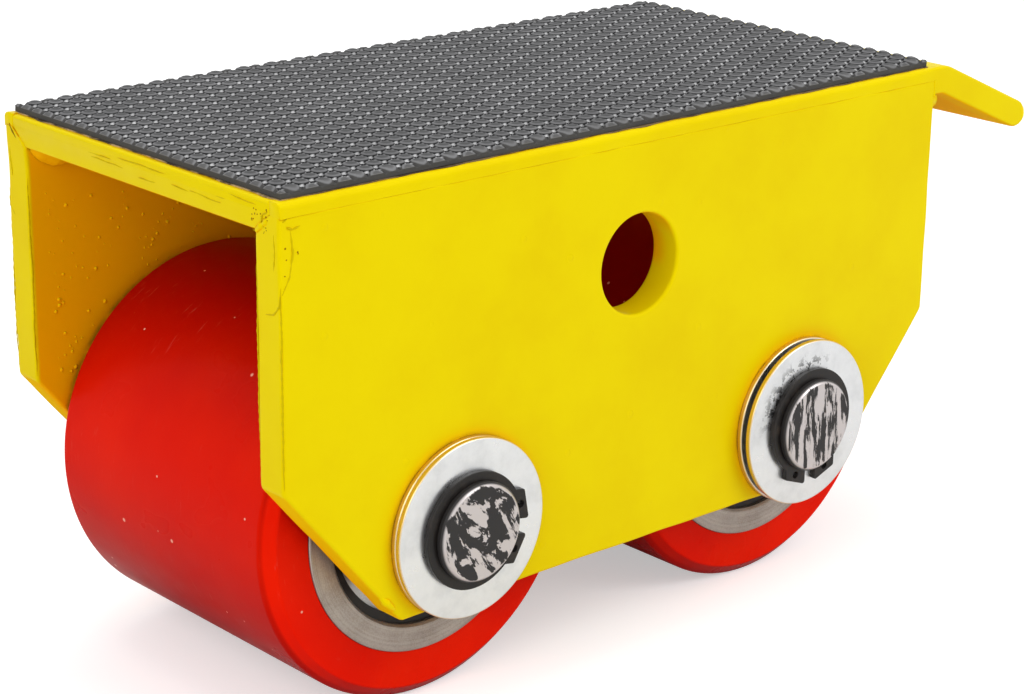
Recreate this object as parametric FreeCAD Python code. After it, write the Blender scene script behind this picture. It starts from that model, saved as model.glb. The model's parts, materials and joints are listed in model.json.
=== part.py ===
import FreeCAD, Part
import math
import os

from FreeCAD import Vector

# Machine skate: a welded channel on two rollers. Millimetres.
# +X points to the bent lip, +Y to the left side, +Z up. The floor is z = 0.
# The origin is under the middle of the whole length and width.

# Heights above the floor
load_height = 111.5
plate_ground_clearance = 23.5

# Room for the two rollers in the frame
front_roller_margin = 3.5
rear_roller_margin = 1.0
roller_gap = 15.0
roller_end_float = 3.0
hub_end_clearance = 0.5

# Welded frame
side_plate_thickness = 7.0
top_plate_thickness = 6.0
end_chamfer_length = 27.0
end_chamfer_height = 32.0
plate_corner_radius = 2.0
corner_weld_size = 2.5
inner_weld_leg = 4.0
inner_weld_crown = 0.5
inner_weld_setback = 1.5

# Bent lip at the far end of the top plate
lip_flat = 2.3
lip_angle = 24.0
lip_bend_radius = 3.0
lip_length = 26.6
lip_weld_drop = 5.0

# Holes in the side plates
tie_hole_diameter = 20.5
tie_hole_depth = 27.25
axle_hole_clearance = 0.1

# Rubber grip pad and the glue under it
pad_thickness = 1.8
pad_inset = 1.5
stud_pitch = 3.6
stud_gap = 0.3
stud_crest = 1.3
stud_height = 0.8
glue_thickness = 0.2
glue_inset = 1.2

# Axles, held by washers and circlips
axle_diameter = 20.0
axle_end_land = 1.6
axle_end_chamfer = 0.7
axle_end_float = 1.2
washer_diameter = 36.0
washer_thickness = 1.25
washer_clearance = 0.25
washers_per_end = 2

# Circlips for the axle ends
circlip_thickness = 1.2
circlip_groove_depth = 0.5
circlip_groove_play = 0.1
circlip_seat_clearance = 0.02
circlip_back_width = 2.6
circlip_front_width = 1.9
circlip_lug_height = 3.8
circlip_lug_width = 5.6
circlip_gap = 3.0
circlip_hole_diameter = 2.0
front_circlip_gap_angle = -10.0
rear_circlip_gap_angle = -90.0

# Rollers: a polyurethane tyre on a steel hub
hub_length = 71.0
hub_wall = 5.5
hub_shoulder = 3.5
hub_mouth_chamfer = 0.5
tyre_thickness = 10.0
tyre_end_inset = 0.3
tyre_shoulder = 2.5

# Shielded ball bearings, kept plain between their rings
inner_race_wall = 4.4
race_gap = 4.85
outer_race_wall = 4.25
bearing_width = 14.0
bearing_corner = 1.0
race_axle_clearance = 0.02
shield_thickness = 0.6
shield_inset = 0.5
shield_clearance = 0.3
spacer_wall = 3.0

# Retaining rings in the hub mouths
ring_recess = 1.2
ring_thickness = 1.75
ring_groove_depth = 1.25
ring_groove_play = 0.1
ring_seat_clearance = 0.02
ring_back_width = 3.0
ring_front_width = 2.3
ring_lug_height = 6.4
ring_lug_width = 5.4
ring_gap = 7.0
ring_hole_diameter = 2.5
ring_gap_angle = 90.0

# Places worked out from the sizes above
axle_radius = axle_diameter / 2
inner_race_radius = axle_radius + inner_race_wall
outer_race_bore = inner_race_radius + race_gap
bearing_radius = outer_race_bore + outer_race_wall
hub_radius = bearing_radius + hub_wall
roller_diameter = 2 * (hub_radius + tyre_thickness)
side_plate_length = front_roller_margin + 2 * roller_diameter + roller_gap + rear_roller_margin
inner_half_width = (hub_length + roller_end_float) / 2 + hub_end_clearance
half_width = inner_half_width + side_plate_thickness
steel_top = load_height - pad_thickness - glue_thickness
steel_underside = steel_top - top_plate_thickness
lip_turn = math.radians(lip_angle)
bend_start = side_plate_length + lip_flat
nose_radius = top_plate_thickness / 2
bend_outer_radius = lip_bend_radius + top_plate_thickness
nose_reach = (lip_bend_radius + nose_radius) * math.sin(lip_turn) + lip_length * math.cos(lip_turn)
overall_length = bend_start + nose_reach + nose_radius
open_end = -overall_length / 2
lip_end = open_end + side_plate_length
axle_height = roller_diameter / 2
front_axle_x = open_end + front_roller_margin + roller_diameter / 2
rear_axle_x = front_axle_x + roller_diameter + roller_gap
washer_stack = washers_per_end * washer_thickness
groove_face = half_width + washer_stack + axle_end_float / 2
groove_width = circlip_thickness + circlip_groove_play
axle_half_length = groove_face + groove_width + axle_end_land
groove_radius = axle_radius - circlip_groove_depth
ring_groove_radius = bearing_radius + ring_groove_depth
bearing_recess = ring_recess + ring_thickness + ring_groove_play
spacer_thickness = bearing_recess + hub_end_clearance
roller_middle_y = roller_end_float / 2
margin = 1.0
same_place = 1e-6

ACROSS = Vector(0, 1, 0)
SIDES = {"right": -1, "left": 1}
AXLES = {
    "front": (front_axle_x, axle_end_float / 2, front_circlip_gap_angle),
    "rear": (rear_axle_x, -axle_end_float / 2, rear_circlip_gap_angle),
}


def save(name, shape):
    """Writes one node's solids, checked, to its own file."""
    if not shape.isValid():
        raise ValueError(name + " is not a valid shape")
    shape.exportStep(os.path.join("parts", name + ".step"))


def prism_along_x(points, start, length):
    """Extrudes a closed outline of (y, z) points along X."""
    corners = [Vector(start, y, z) for y, z in points]
    return Part.Face(Part.makePolygon(corners + corners[:1])).extrude(Vector(length, 0, 0))


def block(low, high):
    """Box between two opposite corners."""
    size = high - low
    return Part.makeBox(size.x, size.y, size.z, low)


def turned(profile, x, y):
    """Turns a closed (radius, y) profile about the axle line at x, moved along it by y."""
    corners = [Vector(radius, along, 0) for radius, along in profile]
    face = Part.Face(Part.makePolygon(corners + corners[:1]))
    solid = face.revolve(Vector(0, 0, 0), ACROSS, 360)
    solid.translate(Vector(x, y, axle_height))
    return solid


def ring(outer, inner, x, start, length):
    """Flat-ended ring about the axle line at x."""
    end = start + length
    return turned([(inner, start), (outer, start), (outer, end), (inner, end)], x, 0)


def cross_hole(radius, x, z):
    """Cylinder right across the frame, for a hole through both side plates."""
    reach = half_width + margin
    return Part.makeCylinder(radius, 2 * reach, Vector(x, -reach, z), ACROSS)


def corner_joint(side):
    """Stretch of the top plate's edge that gives way to the corner weld and the mitred side plate."""
    outside = half_width + margin
    weld_edge = half_width - corner_weld_size
    weld_root = steel_top - corner_weld_size
    outline = [
        (outside, steel_top + margin),
        (weld_edge, steel_top + margin),
        (weld_edge, weld_root),
        (inner_half_width, steel_underside),
        (inner_half_width, steel_underside - margin),
        (outside, steel_underside - margin),
    ]
    mirrored = [(side * y, z) for y, z in outline]
    return prism_along_x(mirrored, open_end, side_plate_length)


def top_plate():
    """Flat top with its far end bent down into a round-nosed lip across the full width."""
    along = Vector(math.cos(lip_turn), 0, -math.sin(lip_turn))
    outward = Vector(math.sin(lip_turn), 0, math.cos(lip_turn))
    half_turn = Vector(math.sin(lip_turn / 2), 0, math.cos(lip_turn / 2))
    bend_x = open_end + bend_start
    centre = Vector(bend_x, 0, steel_underside - lip_bend_radius)
    top_corner = Vector(open_end, 0, steel_top)
    top_bend = Vector(bend_x, 0, steel_top)
    top_slope = centre + outward * bend_outer_radius
    nose_top = top_slope + along * lip_length
    nose_bottom = nose_top - outward * top_plate_thickness
    nose_tip = (nose_top + nose_bottom) * 0.5 + along * nose_radius
    low_slope = centre + outward * lip_bend_radius
    low_bend = Vector(bend_x, 0, steel_underside)
    low_corner = Vector(open_end, 0, steel_underside)
    edges = [
        Part.makeLine(top_corner, top_bend),
        Part.Arc(top_bend, centre + half_turn * bend_outer_radius, top_slope).toShape(),
        Part.makeLine(top_slope, nose_top),
        Part.Arc(nose_top, nose_tip, nose_bottom).toShape(),
        Part.makeLine(nose_bottom, low_slope),
        Part.Arc(low_slope, centre + half_turn * lip_bend_radius, low_bend).toShape(),
        Part.makeLine(low_bend, low_corner),
        Part.makeLine(low_corner, top_corner),
    ]
    face = Part.Face(Part.Wire(edges))
    face.translate(Vector(0, -half_width, 0))
    plate = face.extrude(Vector(0, 2 * half_width, 0))
    for side in SIDES.values():
        plate = plate.cut(corner_joint(side))
    return plate


def side_plate(side):
    """Upright plate with clipped lower corners, mitred to the top plate, with its three holes."""
    lower = plate_ground_clearance
    chamfer_top = lower + end_chamfer_height
    weld_root = steel_top - corner_weld_size
    inner = side * inner_half_width
    outline = [
        Vector(open_end, inner, weld_root),
        Vector(open_end, inner, chamfer_top),
        Vector(open_end + end_chamfer_length, inner, lower),
        Vector(lip_end - end_chamfer_length, inner, lower),
        Vector(lip_end, inner, chamfer_top),
        Vector(lip_end, inner, weld_root),
    ]
    face = Part.Face(Part.makePolygon(outline + outline[:1]))
    plate = face.extrude(Vector(0, side * side_plate_thickness, 0))
    clipped = [edge for edge in plate.Edges if is_clipped_corner(edge, chamfer_top)]
    plate = plate.makeFillet(plate_corner_radius, clipped)
    mitre = [
        (side * (half_width - corner_weld_size), weld_root),
        (side * inner_half_width, steel_underside),
        (side * (inner_half_width - margin), steel_underside),
        (side * (inner_half_width - margin), weld_root),
    ]
    plate = plate.cut(prism_along_x(mitre, open_end, side_plate_length))
    middle = open_end + side_plate_length / 2
    plate = plate.cut(cross_hole(tie_hole_diameter / 2, middle, steel_top - tie_hole_depth))
    for axle_x in (front_axle_x, rear_axle_x):
        plate = plate.cut(cross_hole(axle_radius + axle_hole_clearance, axle_x, axle_height))
    return plate


def is_clipped_corner(edge, highest):
    """True for the edges across the plate's thickness at its four lower corners."""
    first, last = (vertex.Point for vertex in edge.Vertexes)
    runs_across = abs(abs(last.y - first.y) - side_plate_thickness) < same_place
    return runs_across and first.z < highest + same_place


def corner_weld(side):
    """Bead, ground to a quarter round, along the outer top edge of a side plate."""
    low_y, high_y = sorted((side * (half_width - corner_weld_size), side * half_width))
    weld_root = steel_top - corner_weld_size
    middle = Vector(open_end, side * (half_width - corner_weld_size), weld_root)
    bead = Part.makeCylinder(corner_weld_size, side_plate_length, middle, Vector(1, 0, 0))
    corner = block(Vector(open_end, low_y, weld_root), Vector(lip_end, high_y, steel_top))
    return bead.common(corner)


def inner_weld(side):
    """Crowned fillet bead along the inside corner of the top plate and a side plate."""
    start = open_end + inner_weld_setback
    corner = Vector(start, side * inner_half_width, steel_underside)
    on_top = corner - Vector(0, side * inner_weld_leg, 0)
    on_side = corner - Vector(0, 0, inner_weld_leg)
    away = (on_top + on_side) * 0.5 - corner
    crown = corner + away + away * (inner_weld_crown / away.Length)
    edges = [
        Part.makeLine(corner, on_top),
        Part.Arc(on_top, crown, on_side).toShape(),
        Part.makeLine(on_side, corner),
    ]
    length = side_plate_length - 2 * inner_weld_setback
    return Part.Face(Part.Wire(edges)).extrude(Vector(length, 0, 0))


def lip_weld(side):
    """Fillet weld between the lip end of a side plate and the top plate over it."""
    inner = side * inner_half_width
    outline = [
        Vector(lip_end, inner, steel_underside),
        Vector(lip_end + lip_flat, inner, steel_underside),
        Vector(lip_end, inner, steel_underside - lip_weld_drop),
    ]
    face = Part.Face(Part.makePolygon(outline + outline[:1]))
    return face.extrude(Vector(0, side * side_plate_thickness, 0))


def stud_row(middle):
    """Edges over one row of studs: a flat crest between two rounded flanks, from foot to foot."""
    half_crest = stud_crest / 2
    run = (stud_pitch - stud_gap) / 2 - half_crest
    flank_radius = (run * run + stud_height * stud_height) / (2 * stud_height)
    half_turn = math.asin(run / flank_radius) / 2
    bulge_reach = half_crest + flank_radius * math.sin(half_turn)
    bulge_height = stud_height - flank_radius * (1 - math.cos(half_turn))
    half = [(half_crest + run, 0), (bulge_reach, bulge_height), (half_crest, stud_height)]
    first = [middle + Vector(-reach, 0, height) for reach, height in half]
    second = [middle + Vector(reach, 0, height) for reach, height in reversed(half)]
    return [Part.Arc(*first).toShape(), Part.makeLine(first[-1], second[0]), Part.Arc(*second).toShape()]


def grip_pad():
    """Rubber sheet with close rows of domed studs, each row across the frame kept as one round ridge."""
    half_length = side_plate_length / 2 - pad_inset
    reach = half_width - pad_inset
    ground = Vector(open_end + side_plate_length / 2, -reach, load_height - stud_height)
    bottom = ground + Vector(0, 0, stud_height - pad_thickness)
    end = Vector(half_length, 0, 0)
    half_foot = Vector((stud_pitch - stud_gap) / 2, 0, 0)
    rows_each_way = int((half_length - half_foot.x) / stud_pitch)
    edges = []
    reached = ground - end
    for row in range(-rows_each_way, rows_each_way + 1):
        middle = ground + Vector(row * stud_pitch, 0, 0)
        edges += [Part.makeLine(reached, middle - half_foot)] + stud_row(middle)
        reached = middle + half_foot
    underside = [reached, ground + end, bottom + end, bottom - end, ground - end]
    edges += [Part.makeLine(start, stop) for start, stop in zip(underside, underside[1:])]
    return Part.Face(Part.Wire(edges)).extrude(Vector(0, 2 * reach, 0))


def glue_film():
    """Thin film of glue under the pad, kept in from the frame's edges."""
    reach = half_width - glue_inset
    low = Vector(open_end + glue_inset, -reach, steel_top)
    high = Vector(lip_end - glue_inset, reach, steel_top + glue_thickness)
    return block(low, high)


def axle(x, shift):
    """Round axle with a circlip groove and a chamfer at each end."""
    end = axle_half_length
    far_side = groove_face + groove_width
    half = [
        (axle_radius, groove_face),
        (groove_radius, groove_face),
        (groove_radius, far_side),
        (axle_radius, far_side),
        (axle_radius, end - axle_end_chamfer),
        (axle_radius - axle_end_chamfer, end),
    ]
    other_half = [(radius, -along) for radius, along in reversed(half)]
    return turned([(0, -end)] + other_half + half + [(0, end)], x, shift)


def disc(radius, thickness, offset=0.0):
    """Flat disc on the XZ plane, its middle moved along X by an offset."""
    return Part.makeCylinder(radius, thickness, Vector(offset, 0, 0), ACROSS)


def lug_zone(reach, gap, lug_width, thickness):
    """Block about +X that a circlip's two lugs, one each side of its gap, lie in."""
    side = gap / 2 + lug_width
    return block(Vector(0, 0, -side), Vector(reach, thickness, side))


def opened(clip, reach, gap, lug_width, lug_middle, hole_diameter, thickness):
    """Opens a circlip's gap towards +X and drills the tool hole in the middle of each lug."""
    clip = clip.cut(block(Vector(0, -margin, -gap / 2), Vector(reach, thickness + margin, gap / 2)))
    for lug in SIDES.values():
        middle = Vector(lug_middle, 0, lug * (gap + lug_width) / 2)
        clip = clip.cut(Part.makeCylinder(hole_diameter / 2, thickness, middle, ACROSS))
    return clip.removeSplitter()


def placed(clip, gap_angle, x, y):
    """Turns a circlip's gap to its angle and sets it on the axle line at x, its first face at y."""
    clip.rotate(Vector(0, 0, 0), ACROSS, -gap_angle)
    clip.translate(Vector(x, y, axle_height))
    return clip


def circlip(x, shift, side, gap_angle):
    """Circlip in an axle's groove, widest opposite its gap, with a lug each side of the gap."""
    bore = groove_radius + circlip_seat_clearance
    lug_radius = bore + circlip_lug_height
    outer = bore + (circlip_back_width + circlip_front_width) / 2
    offset = (circlip_front_width - circlip_back_width) / 2
    reach = lug_radius + margin
    zone = lug_zone(reach, circlip_gap, circlip_lug_width, circlip_thickness)
    lugs = disc(lug_radius, circlip_thickness).common(zone)
    clip = disc(outer, circlip_thickness, offset).fuse(lugs).cut(disc(bore, circlip_thickness))
    lug_middle = bore + circlip_lug_height / 2
    hole = (lug_middle, circlip_hole_diameter, circlip_thickness)
    clip = opened(clip, reach, circlip_gap, circlip_lug_width, *hole)
    start = groove_face if side > 0 else -groove_face - circlip_thickness
    return placed(clip, gap_angle, x, shift + start)


def retaining_rings(x):
    """Circlips in the grooves of a hub's two mouths, each with its lugs pointing inwards."""
    rim = ring_groove_radius - ring_seat_clearance
    inner = rim - (ring_back_width + ring_front_width) / 2
    offset = (ring_back_width - ring_front_width) / 2
    reach = rim + margin
    lug_end = rim - ring_lug_height
    zone = lug_zone(reach, ring_gap, ring_lug_width, ring_thickness)
    whole = disc(rim, ring_thickness)
    lugs = whole.cut(disc(lug_end, ring_thickness)).common(zone)
    clip = whole.cut(disc(inner, ring_thickness, offset)).fuse(lugs)
    lug_middle = lug_end + ring_lug_height / 2
    hole = (lug_middle, ring_hole_diameter, ring_thickness)
    clip = opened(clip, reach, ring_gap, ring_lug_width, *hole)
    outer_face = hub_length / 2 - ring_recess
    starts = (-outer_face, outer_face - ring_thickness)
    return Part.makeCompound([placed(clip.copy(), ring_gap_angle, x, roller_middle_y + y) for y in starts])


def washers(x, shift, side):
    """Washers of one axle end: the first lies on the side plate, the rest lie under the circlip."""
    found = []
    for place in range(washers_per_end):
        on_plate = half_width
        under_clip = side * shift + groove_face - (washers_per_end - place) * washer_thickness
        inner_face = under_clip if place else on_plate
        start = inner_face if side > 0 else -inner_face - washer_thickness
        found.append(ring(washer_diameter / 2, axle_radius + washer_clearance, x, start, washer_thickness))
    return Part.makeCompound(found)


def spacers(x):
    """Rings on the axle between the side plates and the inner races."""
    bore = axle_radius + axle_hole_clearance
    starts = (-inner_half_width, inner_half_width - spacer_thickness)
    outer = axle_radius + spacer_wall
    rings = [ring(outer, bore, x, start, spacer_thickness) for start in starts]
    return Part.makeCompound(rings)


def both_ends(profile, x):
    """Turns a bearing piece, drawn outwards from the roller's end face, at both ends of a roller."""
    end = hub_length / 2
    left = [(radius, end - depth) for radius, depth in profile]
    right = [(radius, depth - end) for radius, depth in profile]
    return Part.makeCompound([turned(right, x, roller_middle_y), turned(left, x, roller_middle_y)])


def outer_races(x):
    """Outer rings of a roller's two bearings, each with its outside corner broken."""
    first = bearing_recess
    last = bearing_recess + bearing_width
    profile = [
        (outer_race_bore, first),
        (bearing_radius - bearing_corner, first),
        (bearing_radius, first + bearing_corner),
        (bearing_radius, last),
        (outer_race_bore, last),
    ]
    return both_ends(profile, x)


def inner_races(x):
    """Inner rings of a roller's two bearings, standing still on the axle."""
    bore = axle_radius + race_axle_clearance
    first = bearing_recess
    last = bearing_recess + bearing_width
    rim = inner_race_radius
    return both_ends([(bore, first), (rim, first), (rim, last), (bore, last)], x)


def shields(x):
    """Dust shields that close the outward face of a roller's two bearings."""
    lip = inner_race_radius + shield_clearance
    first = bearing_recess + shield_inset
    last = first + shield_thickness
    return both_ends([(lip, first), (outer_race_bore, first), (outer_race_bore, last), (lip, last)], x)


def hub(x):
    """Steel tube with a bearing seat, a retaining ring's groove and a broken edge at each end."""
    end = hub_length / 2
    groove_end = end - ring_recess
    groove_start = groove_end - ring_thickness - ring_groove_play
    seat_start = groove_start - bearing_width
    middle = bearing_radius - hub_shoulder
    half = [
        (middle, seat_start),
        (bearing_radius, seat_start),
        (bearing_radius, groove_start),
        (ring_groove_radius, groove_start),
        (ring_groove_radius, groove_end),
        (bearing_radius, groove_end),
        (bearing_radius, end - hub_mouth_chamfer),
        (bearing_radius + hub_mouth_chamfer, end),
        (hub_radius, end),
    ]
    other_half = [(radius, -along) for radius, along in reversed(half)]
    return turned(half + other_half, x, roller_middle_y)


def tyre(x):
    """Polyurethane sleeve bonded on the hub, with broken shoulders."""
    end = hub_length / 2 - tyre_end_inset
    tread = roller_diameter / 2
    half = [(hub_radius, end), (tread - tyre_shoulder, end), (tread, end - tyre_shoulder)]
    other_half = [(radius, -along) for radius, along in reversed(half)]
    return turned(half + other_half, x, roller_middle_y)


def main():
    """Builds every piece and writes it to parts/."""
    os.makedirs("parts", exist_ok=True)
    save("top_plate", top_plate())
    save("lip_welds", Part.makeCompound([lip_weld(side) for side in SIDES.values()]))
    save("pad_glue", glue_film())
    save("grip_pad", grip_pad())
    for side_name, side in SIDES.items():
        save(side_name + "_side_plate", side_plate(side))
        save(side_name + "_corner_weld", corner_weld(side))
        save(side_name + "_inner_weld", inner_weld(side))
    for end_name, (x, shift, gap_angle) in AXLES.items():
        save(end_name + "_axle", axle(x, shift))
        save(end_name + "_spacers", spacers(x))
        save(end_name + "_inner_races", inner_races(x))
        save(end_name + "_outer_races", outer_races(x))
        save(end_name + "_shields", shields(x))
        save(end_name + "_retaining_rings", retaining_rings(x))
        save(end_name + "_hub", hub(x))
        save(end_name + "_tyre", tyre(x))
        for side_name, side in SIDES.items():
            save(end_name + "_" + side_name + "_circlip", circlip(x, shift, side, gap_angle))
            save(end_name + "_" + side_name + "_washers", washers(x, shift, side))


main()
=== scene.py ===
"""Looks of a machine skate: a welded yellow channel with a studded rubber pad, on two red rollers.

Every piece is made in metres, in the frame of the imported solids, and takes its place from them.
+X points to the bent lip, -Y is the right side, which faces the camera, and the floor is z = 0.
"""

import functools
import itertools
import json
import logging
import math
import random
from collections.abc import Callable, Iterable, Sequence
from dataclasses import asdict, dataclass
from enum import Enum

import bmesh
import bpy
from bpy.types import ID, Material, Mesh, Node, NodeSocket, NodeTree, Object
from mathutils import Matrix, Vector, noise
from mathutils.geometry import delaunay_2d_cdt


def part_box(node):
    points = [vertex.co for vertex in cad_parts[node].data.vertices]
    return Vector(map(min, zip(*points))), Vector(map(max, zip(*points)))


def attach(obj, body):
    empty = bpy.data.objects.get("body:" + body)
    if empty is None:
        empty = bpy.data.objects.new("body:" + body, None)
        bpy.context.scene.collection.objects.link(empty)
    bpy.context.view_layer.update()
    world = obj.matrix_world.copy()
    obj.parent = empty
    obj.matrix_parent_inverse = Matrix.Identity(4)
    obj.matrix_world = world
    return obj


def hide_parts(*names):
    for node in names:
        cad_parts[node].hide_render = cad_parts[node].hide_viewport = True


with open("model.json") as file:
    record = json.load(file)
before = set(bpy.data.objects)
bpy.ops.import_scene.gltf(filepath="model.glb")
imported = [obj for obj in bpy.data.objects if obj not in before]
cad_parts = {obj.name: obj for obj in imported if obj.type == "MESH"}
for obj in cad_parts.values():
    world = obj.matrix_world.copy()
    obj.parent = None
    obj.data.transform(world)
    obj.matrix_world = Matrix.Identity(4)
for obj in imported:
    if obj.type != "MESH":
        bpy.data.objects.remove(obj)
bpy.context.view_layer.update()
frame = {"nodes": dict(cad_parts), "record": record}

LOG = logging.getLogger("machine_skate")
MM = 0.001
NEAR_ZERO = 1e-9
WELD_DISTANCE = 1e-6
STRAIGHT = 0.01
MITRE_LIMIT = 0.2
SHADE_SAMPLES = 8
CRACK_SEED = 7
STUD_SEED = 4
DUST_AND_GLINT_LAYER = "dust"
HEIGHT_LAYER = "height"

Colour = tuple[float, float, float, float]
Corner = tuple[float, float, float]
Outline = list[Vector]
Placer = Callable[[float, float, float], Vector]


class Side(Enum):
    """Sides of the skate, with the sign of their Y."""

    RIGHT = -1
    LEFT = 1

    @property
    def label(self) -> str:
        """Name of the side as the nodes have it."""
        return self.name.lower()


class End(Enum):
    """Ends of the skate that carry a roller."""

    FRONT = "front"
    REAR = "rear"


class Wear(Enum):
    """How the black coat has worn off an axle's end face."""

    BLOTCHED = "blotched"
    STRIPED = "striped"


# Outlines and meshes


def rounded(corners: Sequence[Corner], segments: int = 4, support: float = 0.0) -> Outline:
    """Rounds the corners of a closed outline.

    Args:
        corners: Each corner's two coordinates and radius, in order round the outline.
        segments: Steps of the arc at a rounded corner.
        support: Distance past an arc's ends of one more point on each straight side, or 0.

    Returns:
        The outline's points, in the same order.
    """
    points: Outline = []
    for index, (first, second, radius) in enumerate(corners):
        corner = Vector((first, second))
        if radius <= 0.0:
            points.append(corner)
            continue
        back = (Vector(corners[index - 1][:2]) - corner).normalized()
        ahead = (Vector(corners[(index + 1) % len(corners)][:2]) - corner).normalized()
        half_angle = back.angle(ahead) / 2
        turn = math.pi - 2 * half_angle
        reach = radius / math.tan(half_angle) if turn > STRAIGHT else radius
        if support:
            points.append(corner + back * (reach + support))
        for step in range(segments + 1):
            share = step / segments
            if turn > STRAIGHT:
                centre = corner + (back + ahead).normalized() * (radius / math.sin(half_angle))
                start = (corner + back * reach - centre) * math.sin((1 - share) * turn)
                end = (corner + ahead * reach - centre) * math.sin(share * turn)
                points.append(centre + (start + end) / math.sin(turn))
            else:
                points.append(corner + back * (reach * (1 - 2 * share)))
        if support:
            points.append(corner + ahead * (reach + support))
    return points


def oblong(low: Sequence[float], high: Sequence[float], radius: float = 0.0) -> list[Corner]:
    """Corners of an oblong from its lowest to its highest coordinates, anticlockwise."""
    sides = ((low[0], low[1]), (high[0], low[1]), (high[0], high[1]), (low[0], high[1]))
    return [(first, second, radius) for first, second in sides]


def circle(first: float, second: float, radius: float, steps: int) -> Outline:
    """Points of a circle about a middle's two coordinates, anticlockwise."""
    turns = (2 * math.pi * step / steps for step in range(steps))
    return [Vector((first + radius * math.cos(turn), second + radius * math.sin(turn))) for turn in turns]


def arc(middle: Vector, start: Vector, end: Vector, step: float) -> Outline:
    """Points of the longer arc from one point to another about a middle.

    Args:
        middle: The arc's middle.
        start: Its first point, which sets the radius.
        end: Its last point.
        step: Angle between two points, in radians.

    Returns:
        The points from start to end.
    """
    radius = (start - middle).length
    first = math.atan2(*reversed(start - middle))
    last = math.atan2(*reversed(end - middle))
    sweep = (last - first) % (2 * math.pi)
    if sweep < math.pi:
        sweep -= 2 * math.pi
    count = max(2, round(abs(sweep) / step))
    angles = (first + sweep * index / count for index in range(count + 1))
    return [middle + radius * Vector((math.cos(angle), math.sin(angle))) for angle in angles]


def mirrored(half: Sequence[Corner], span: float) -> list[Corner]:
    """Closes half a turned profile with its mirror image; the span is the sum of its two ends."""
    return [*half, *((radius, span - along, soft) for radius, along, soft in reversed(half))]


def resampled(outline: Outline, step: float) -> Outline:
    """Divides the long sides of a closed outline.

    Args:
        outline: The outline's points.
        step: Longest side that stays whole.

    Returns:
        The outline with the added points.
    """
    points: Outline = []
    for start, end in zip(outline, outline[1:] + outline[:1]):
        parts = max(1, math.ceil((end - start).length / step))
        points.extend(start.lerp(end, part / parts) for part in range(parts))
    return points


def wavered(outline: Outline, height: float, length: float, seed: float) -> Outline:
    """Moves an outline's points a little in and out, as a hand-cut edge runs.

    Args:
        outline: The outline's points.
        height: Furthest that a point moves.
        length: About how long one wave is.
        seed: Place in the noise, so that pieces differ.

    Returns:
        The moved points.
    """
    moved: Outline = []
    for point, way in zip(outline, inward(outline)):
        place = Vector((point.x, point.y, seed * length)) / length
        moved.append(point + way * (noise.noise(place) * height))
    return moved


def turned_to(outline: Outline, anticlockwise: bool) -> Outline:
    """Gives an outline a set direction."""
    area = sum(a.cross(b) for a, b in zip(outline, outline[1:] + outline[:1]))
    return outline if (area > 0) == anticlockwise else outline[::-1]


def inward(outline: Outline) -> list[Vector]:
    """Directions to the left of an outline, as long as a mitred inset of 1 needs.

    Args:
        outline: Points of an anticlockwise rim or a clockwise hole.

    Returns:
        One vector for each point, into the material.
    """
    ways: list[Vector] = []
    for index, point in enumerate(outline):
        back = (point - outline[index - 1]).normalized()
        ahead = (outline[(index + 1) % len(outline)] - point).normalized()
        first, second = Vector((-back.y, back.x)), Vector((-ahead.y, ahead.x))
        ways.append((first + second) / max(MITRE_LIMIT, 1 + first.dot(second)))
    return ways


def bridge(bm: bmesh.types.BMesh, lower: Sequence, upper: Sequence) -> None:
    """Joins two closed rings of as many vertices with faces, a ring of one vertex as a fan.

    Args:
        bm: The mesh that the rings are in.
        lower: First ring.
        upper: Second ring.
    """
    count = max(len(lower), len(upper))
    for index in range(count):
        after = (index + 1) % count
        corners = [lower[index % len(lower)], lower[after % len(lower)]]
        corners += [upper[after % len(upper)], upper[index % len(upper)]]
        bm.faces.new(list(dict.fromkeys(corners)))


def contains(outline: Outline, point: Vector) -> bool:
    """Tells whether a point lies inside a closed outline.

    Args:
        outline: The outline's points.
        point: The point.

    Returns:
        True if it lies inside.
    """
    inside = False
    for start, end in zip(outline, outline[1:] + outline[:1]):
        if (start.y > point.y) != (end.y > point.y):
            crossing = start.x + (point.y - start.y) / (end.y - start.y) * (end.x - start.x)
            inside ^= point.x < crossing
    return inside


def fill(bm: bmesh.types.BMesh, outlines: Sequence[Outline], rings: Sequence[Sequence]) -> None:
    """Fills the flat area between a rim and its holes with triangles.

    Args:
        bm: The mesh that the rings are in.
        outlines: The rim's outline first, then those of the holes.
        rings: The vertices of each outline.
    """
    points = [point for outline in outlines for point in outline]
    vertices = [vertex for ring in rings for vertex in ring]
    edges: list[tuple[int, int]] = []
    for ring in rings:
        first = len(edges)
        edges += [(first + step, first + (step + 1) % len(ring)) for step in range(len(ring))]
    _, _, triangles, origins, _, _ = delaunay_2d_cdt(points, edges, [], 1, NEAR_ZERO)
    for triangle in triangles:
        corners = [origins[index][0] for index in triangle]
        centre = sum((points[index] for index in corners), Vector((0.0, 0.0))) / 3
        if not any(contains(hole, centre) for hole in outlines[1:]):
            bm.faces.new([vertices[index] for index in corners])


def mesh_of(bm: bmesh.types.BMesh, name: str) -> Mesh:
    """Turns a mesh in the making into a named one.

    Args:
        bm: The mesh in the making, which is freed.
        name: The new mesh's name.

    Returns:
        The mesh.
    """
    mesh = bpy.data.meshes.new(name)
    bm.to_mesh(mesh)
    bm.free()
    return mesh


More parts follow.
